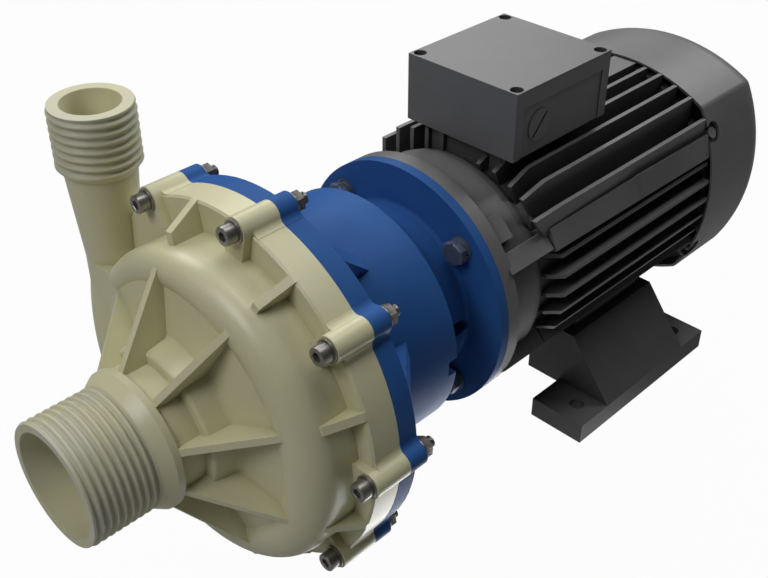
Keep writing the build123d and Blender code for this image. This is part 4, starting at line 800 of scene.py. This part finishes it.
def boss_hollows(bm, front, rear):
    """Wedges with hollow backs in the corners between the bosses and the rim."""
    reach, gap = BOSS_CIRCLE + BOSS_HOLLOW, BOSS_SLIM + BOSS_HOLLOW
    to_centre = acos((BOSS_CIRCLE ** 2 + reach ** 2 - gap ** 2) / (2 * BOSS_CIRCLE * reach))
    to_corner = 2 * asin(BOSS_SLIM / (2 * BOSS_CIRCLE))
    parts = [k / HOLLOW_STEPS for k in range(HOLLOW_STEPS + 1)]
    for axis in boss_axes:
        out = axis - shaft
        for sign in (-1, 1):
            centre = shaft + Matrix.Rotation(sign * to_centre, 3, "Y") @ out * (reach / BOSS_CIRCLE)
            corner = shaft + Matrix.Rotation(sign * to_corner, 3, "Y") @ out
            first, last = (axis - centre).normalized(), (shaft - centre).normalized()
            arc = [centre + first.slerp(last, part) * BOSS_HOLLOW for part in parts]
            outline = [*arc, corner + (corner - centre).normalized() * HOLLOW_OVERLAP]
            levels = [Vector((0.0, level, 0.0)) for level in (front, rear)]
            loops = [[point + level for point in outline] for level in levels]
            skin(bm, loops, Matrix.Identity(4), start_cap=True, end_cap=True)


def flat_faces(obj):
    """Lets large faces rule the normals, so that flats stay flat beside rounded edges."""
    weighted = obj.modifiers.new("weighted_normals", "WEIGHTED_NORMAL")
    weighted.keep_sharp = True


def lantern_body():
    bm = copied("lantern_bracket")
    slim_bosses(bm)
    boss_hollows(bm, RING_PARTING, RING_REAR)
    flat_faces(piece("lantern_body", bm, "blue_paint", "housing", "lantern_bracket"))


lantern_body()

# %% [markdown]
# The fins on top of the motor reach up to the outline of the square fan cover, whose
# sides bulge a little. So the inner fins are the tallest, and the outermost one stands
# right above the pad of the tie screws. On the right, each is a plate whose front slants
# to a tip that reaches over the shield, and on the left the fronts are blunt. A row holds
# the place across, the place and height of the tip, and the height of the fin, all in
# millimetres from the shaft and from the motor's face.

# %% Top fins of the motor
FIN_THICKNESS = 3.7 * MM
FIN_FRONT = MOTOR_FACE + 58.0 * MM
FIN_REAR = MOTOR_FACE + 268.4 * MM
FIN_SLANT = 13.0 * MM
FIN_DEPTH = 24.0 * MM
TOP_FINS = [
    (21.0, 51.0, 89.0, 97.2), (36.4, 51.0, 88.0, 96.0), (51.8, 51.0, 82.0, 90.5),
    (67.2, 46.0, 79.5, 85.0), (82.6, 42.0, 69.5, 70.5),
]


def top_fins():
    bm = bmesh.new()
    for across, tip, tip_height, top in TOP_FINS:
        high = shaft.z + top * MM
        low = high - FIN_DEPTH
        rear = [(FIN_REAR, high), (FIN_REAR, low), (FIN_FRONT, low)]
        blunt = [*rear, (FIN_FRONT, high)]
        point = (MOTOR_FACE + tip * MM, shaft.z + tip_height * MM)
        slanted = [*rear, point, (FIN_FRONT + FIN_SLANT, high)]
        for sign, profile in ((-1, blunt), (1, slanted)):
            middle = sign * across * MM
            sides = (middle - FIN_THICKNESS / 2, middle + FIN_THICKNESS / 2)
            loops = [[(x, y, z) for y, z in profile] for x in sides]
            skin(bm, loops, Matrix.Identity(4), start_cap=True, end_cap=True)
    piece("top_fins", bm, "grey_paint", "housing")


top_fins()

# %% [markdown]
# A long pad runs along each side of the motor above the side fins. It grows a little
# wider from the shield to the fan cover, and its upper edge has one small step. Each
# section is a quadrilateral between two corners outside and two inside the frame. A row
# holds the section's place along the motor and its two outer corners, in millimetres.

# %% Long pads of the motor
PAD_SECTIONS = [
    (59.0, (85.4, 57.2), (93.6, 41.5)), (165.0, (87.3, 58.8), (93.6, 40.2)),
    (167.0, (88.9, 60.6), (93.6, 40.2)), (268.4, (88.6, 58.2), (93.6, 38.5)),
]
PAD_INSIDE = [(76.0, 30.0), (66.0, 46.0)]


def long_pads():
    bm = bmesh.new()
    for sign in (-1, 1):
        loops = []
        for along, upper, lower in PAD_SECTIONS:
            y = MOTOR_FACE + along * MM
            corners = [upper, lower, *PAD_INSIDE]
            loops.append([(sign * x * MM, y, shaft.z + z * MM) for x, z in corners])
        skin(bm, loops, Matrix.Identity(4), start_cap=True, end_cap=True)
    piece("long_pads", bm, "grey_paint", "housing")


long_pads()

# %% [markdown]
# The casing is copied from the frame and loses its two smooth nozzle ends, which the
# threaded ones replace. Each cut is a plane, and only the faces near that nozzle are cut:
# those within a distance across the nozzle and within another one behind the plane.

# %% Casing without its nozzle ends
SUCTION_NEAR = (60.0 * MM, 20.0 * MM)
DISCHARGE_NEAR = (31.0 * MM, 30.0 * MM)
CASING_SHARP = 22


def trim(bm, point, normal, near):
    """Removes what lies beyond a plane, looking only at faces that are near."""
    faces = [face for face in bm.faces if near(face.calc_center_median())]
    geometry = list(dict.fromkeys(part for face in faces for part in [face, *face.verts, *face.edges]))
    result = bmesh.ops.bisect_plane(
        bm, geom=geometry, plane_co=point, plane_no=normal, clear_outer=True)
    rim = [part for part in result["geom_cut"] if isinstance(part, bmesh.types.BMEdge)]
    bmesh.ops.triangle_fill(bm, edges=rim, use_beauty=True, normal=normal)


def casing_body():
    bm = copied("pump_casing")
    cut_front = suction_end + Vector((0.0, SUCTION_THREAD, 0.0))
    cut_top = discharge_end - Vector((0.0, 0.0, DISCHARGE_THREAD))

    def near_suction(c):
        return abs(c.x) < SUCTION_NEAR[0] and c.y < cut_front.y + SUCTION_NEAR[1]

    def near_discharge(c):
        return abs(c.x - cut_top.x) < DISCHARGE_NEAR[0] and c.z > cut_top.z - DISCHARGE_NEAR[1]

    trim(bm, cut_front, (0.0, -1.0, 0.0), near_suction)
    trim(bm, cut_top, (0.0, 0.0, 1.0), near_discharge)
    slim_bosses(bm)
    boss_hollows(bm, RING_FRONT + RING_CHAMFER, RING_PARTING)
    flat_faces(piece("casing_body", bm, "cream_plastic", "housing", "pump_casing", sharp=CASING_SHARP))


casing_body()

# %% [markdown]
# The pump stands in a plain pale studio. Five large soft lamps hang on a dome above it:
# the strongest behind, for the sheen on the lid and the fan cover, and weaker ones above,
# in front and at the left, so that the right sides fall into shade. The camera sees the
# world as white, but the world gives hardly any light, which keeps the gaps between the
# fins dark. The floor is far enough below to catch only a faint shadow. A bright patch of
# floor under the pump is seen only by reflections: it draws the white sheen along the
# lower right edges, where the surfaces are seen at a grazing angle.

# %% Studio
WHITE = (1.0, 1.0, 1.0, 1.0)
FLOOR_HALF = 30.0
FLOOR_DROP = 0.16
FLOOR_TONE = (0.45, 0.45, 0.45, 1.0)
FLOOR_GLOW = 0.97
SHEEN = 3.5
SHEEN_PLACE = (0.12, -0.05, -0.173)
SHEEN_INNER = 0.16
SHEEN_OUTER = 0.27
AMBIENT = 0.02
LAMP_TARGET = Vector((0.0, -0.1, 0.1))
LAMP_SIZE = 0.9
LAMP_DISTANCE = 2.2
LAMPS = [
    ("behind", (0.0, 0.7, 0.7), 17.2), ("front", (0.0, -0.7, 0.7), 13.4),
    ("left", (-0.7, 0.0, 0.7), 11.9), ("above", (0.0, 0.0, 1.0), 8.8),
    ("corner", (-0.58, 0.58, 0.56), 9.4),
]
world = bpy.data.worlds.new("studio")
bpy.context.scene.world = world
world.use_nodes = True
sky = Tree(world.node_tree)
seen = sky.node("ShaderNodeLightPath", output="Is Camera Ray")
through = sky.node("ShaderNodeLightPath", output="Is Transmission Ray")
white = seen.math("MAXIMUM", through)
sky.link(white * (1.0 - AMBIENT) + AMBIENT, "Background", "Strength")
world.node_tree.nodes["Background"].inputs["Color"].default_value = WHITE


def area_lamp(name, direction, power):
    """Square soft lamp on the dome, in a direction from its target and pointing at it."""
    data = bpy.data.lights.new(name, "AREA")
    data.shape = "SQUARE"
    data.size = LAMP_SIZE
    data.energy = power
    lamp = bpy.data.objects.new(name, data)
    lamp.location = LAMP_TARGET + Vector(direction).normalized() * LAMP_DISTANCE
    lamp.rotation_euler = (LAMP_TARGET - lamp.location).to_track_quat("-Z", "Y").to_euler()
    bpy.context.scene.collection.objects.link(lamp)


for name, direction, power in LAMPS:
    area_lamp(name, direction, power)
print("lamps:", len(LAMPS))


def floor_finish():
    """Pale floor: white to the camera, with a faint shadow of the object."""
    finish = Finish("floor", roughness=0.9, Base_Color=FLOOR_TONE)
    own = Value(finish, finish.shader.outputs[0])
    glow = finish.node("ShaderNodeEmission", {}, {"Color": WHITE, "Strength": 1.0})
    view = finish.node("ShaderNodeLightPath", output="Is Camera Ray")
    seen = finish.node("ShaderNodeMixShader", {}, [view * FLOOR_GLOW, own, glow])
    bright = finish.node("ShaderNodeEmission", {}, {"Color": WHITE, "Strength": SHEEN})
    shine = finish.node("ShaderNodeLightPath", output="Is Glossy Ray")
    between = [finish.place(), SHEEN_PLACE]
    away = finish.node("ShaderNodeVectorMath", {"operation": "DISTANCE"}, between, "Value")
    patch = shine * (1.0 - away.ramp(SHEEN_INNER, SHEEN_OUTER))
    surface = finish.node("ShaderNodeMixShader", {}, [patch, seen, bright])
    finish.link(surface, "Material Output", "Surface")
    return finish.material


def floor():
    mesh = bpy.data.meshes.new("floor")
    level = cad_box[0][2] - FLOOR_DROP
    corners = []
    for x, y in ((-1, -1), (1, -1), (1, 1), (-1, 1)):
        corners.append((x * FLOOR_HALF, y * FLOOR_HALF, level))
    mesh.from_pydata(corners, [], [(0, 1, 2, 3)])
    mesh.materials.append(floor_finish())
    obj = bpy.data.objects.new("floor", mesh)
    bpy.context.scene.collection.objects.link(obj)


floor()
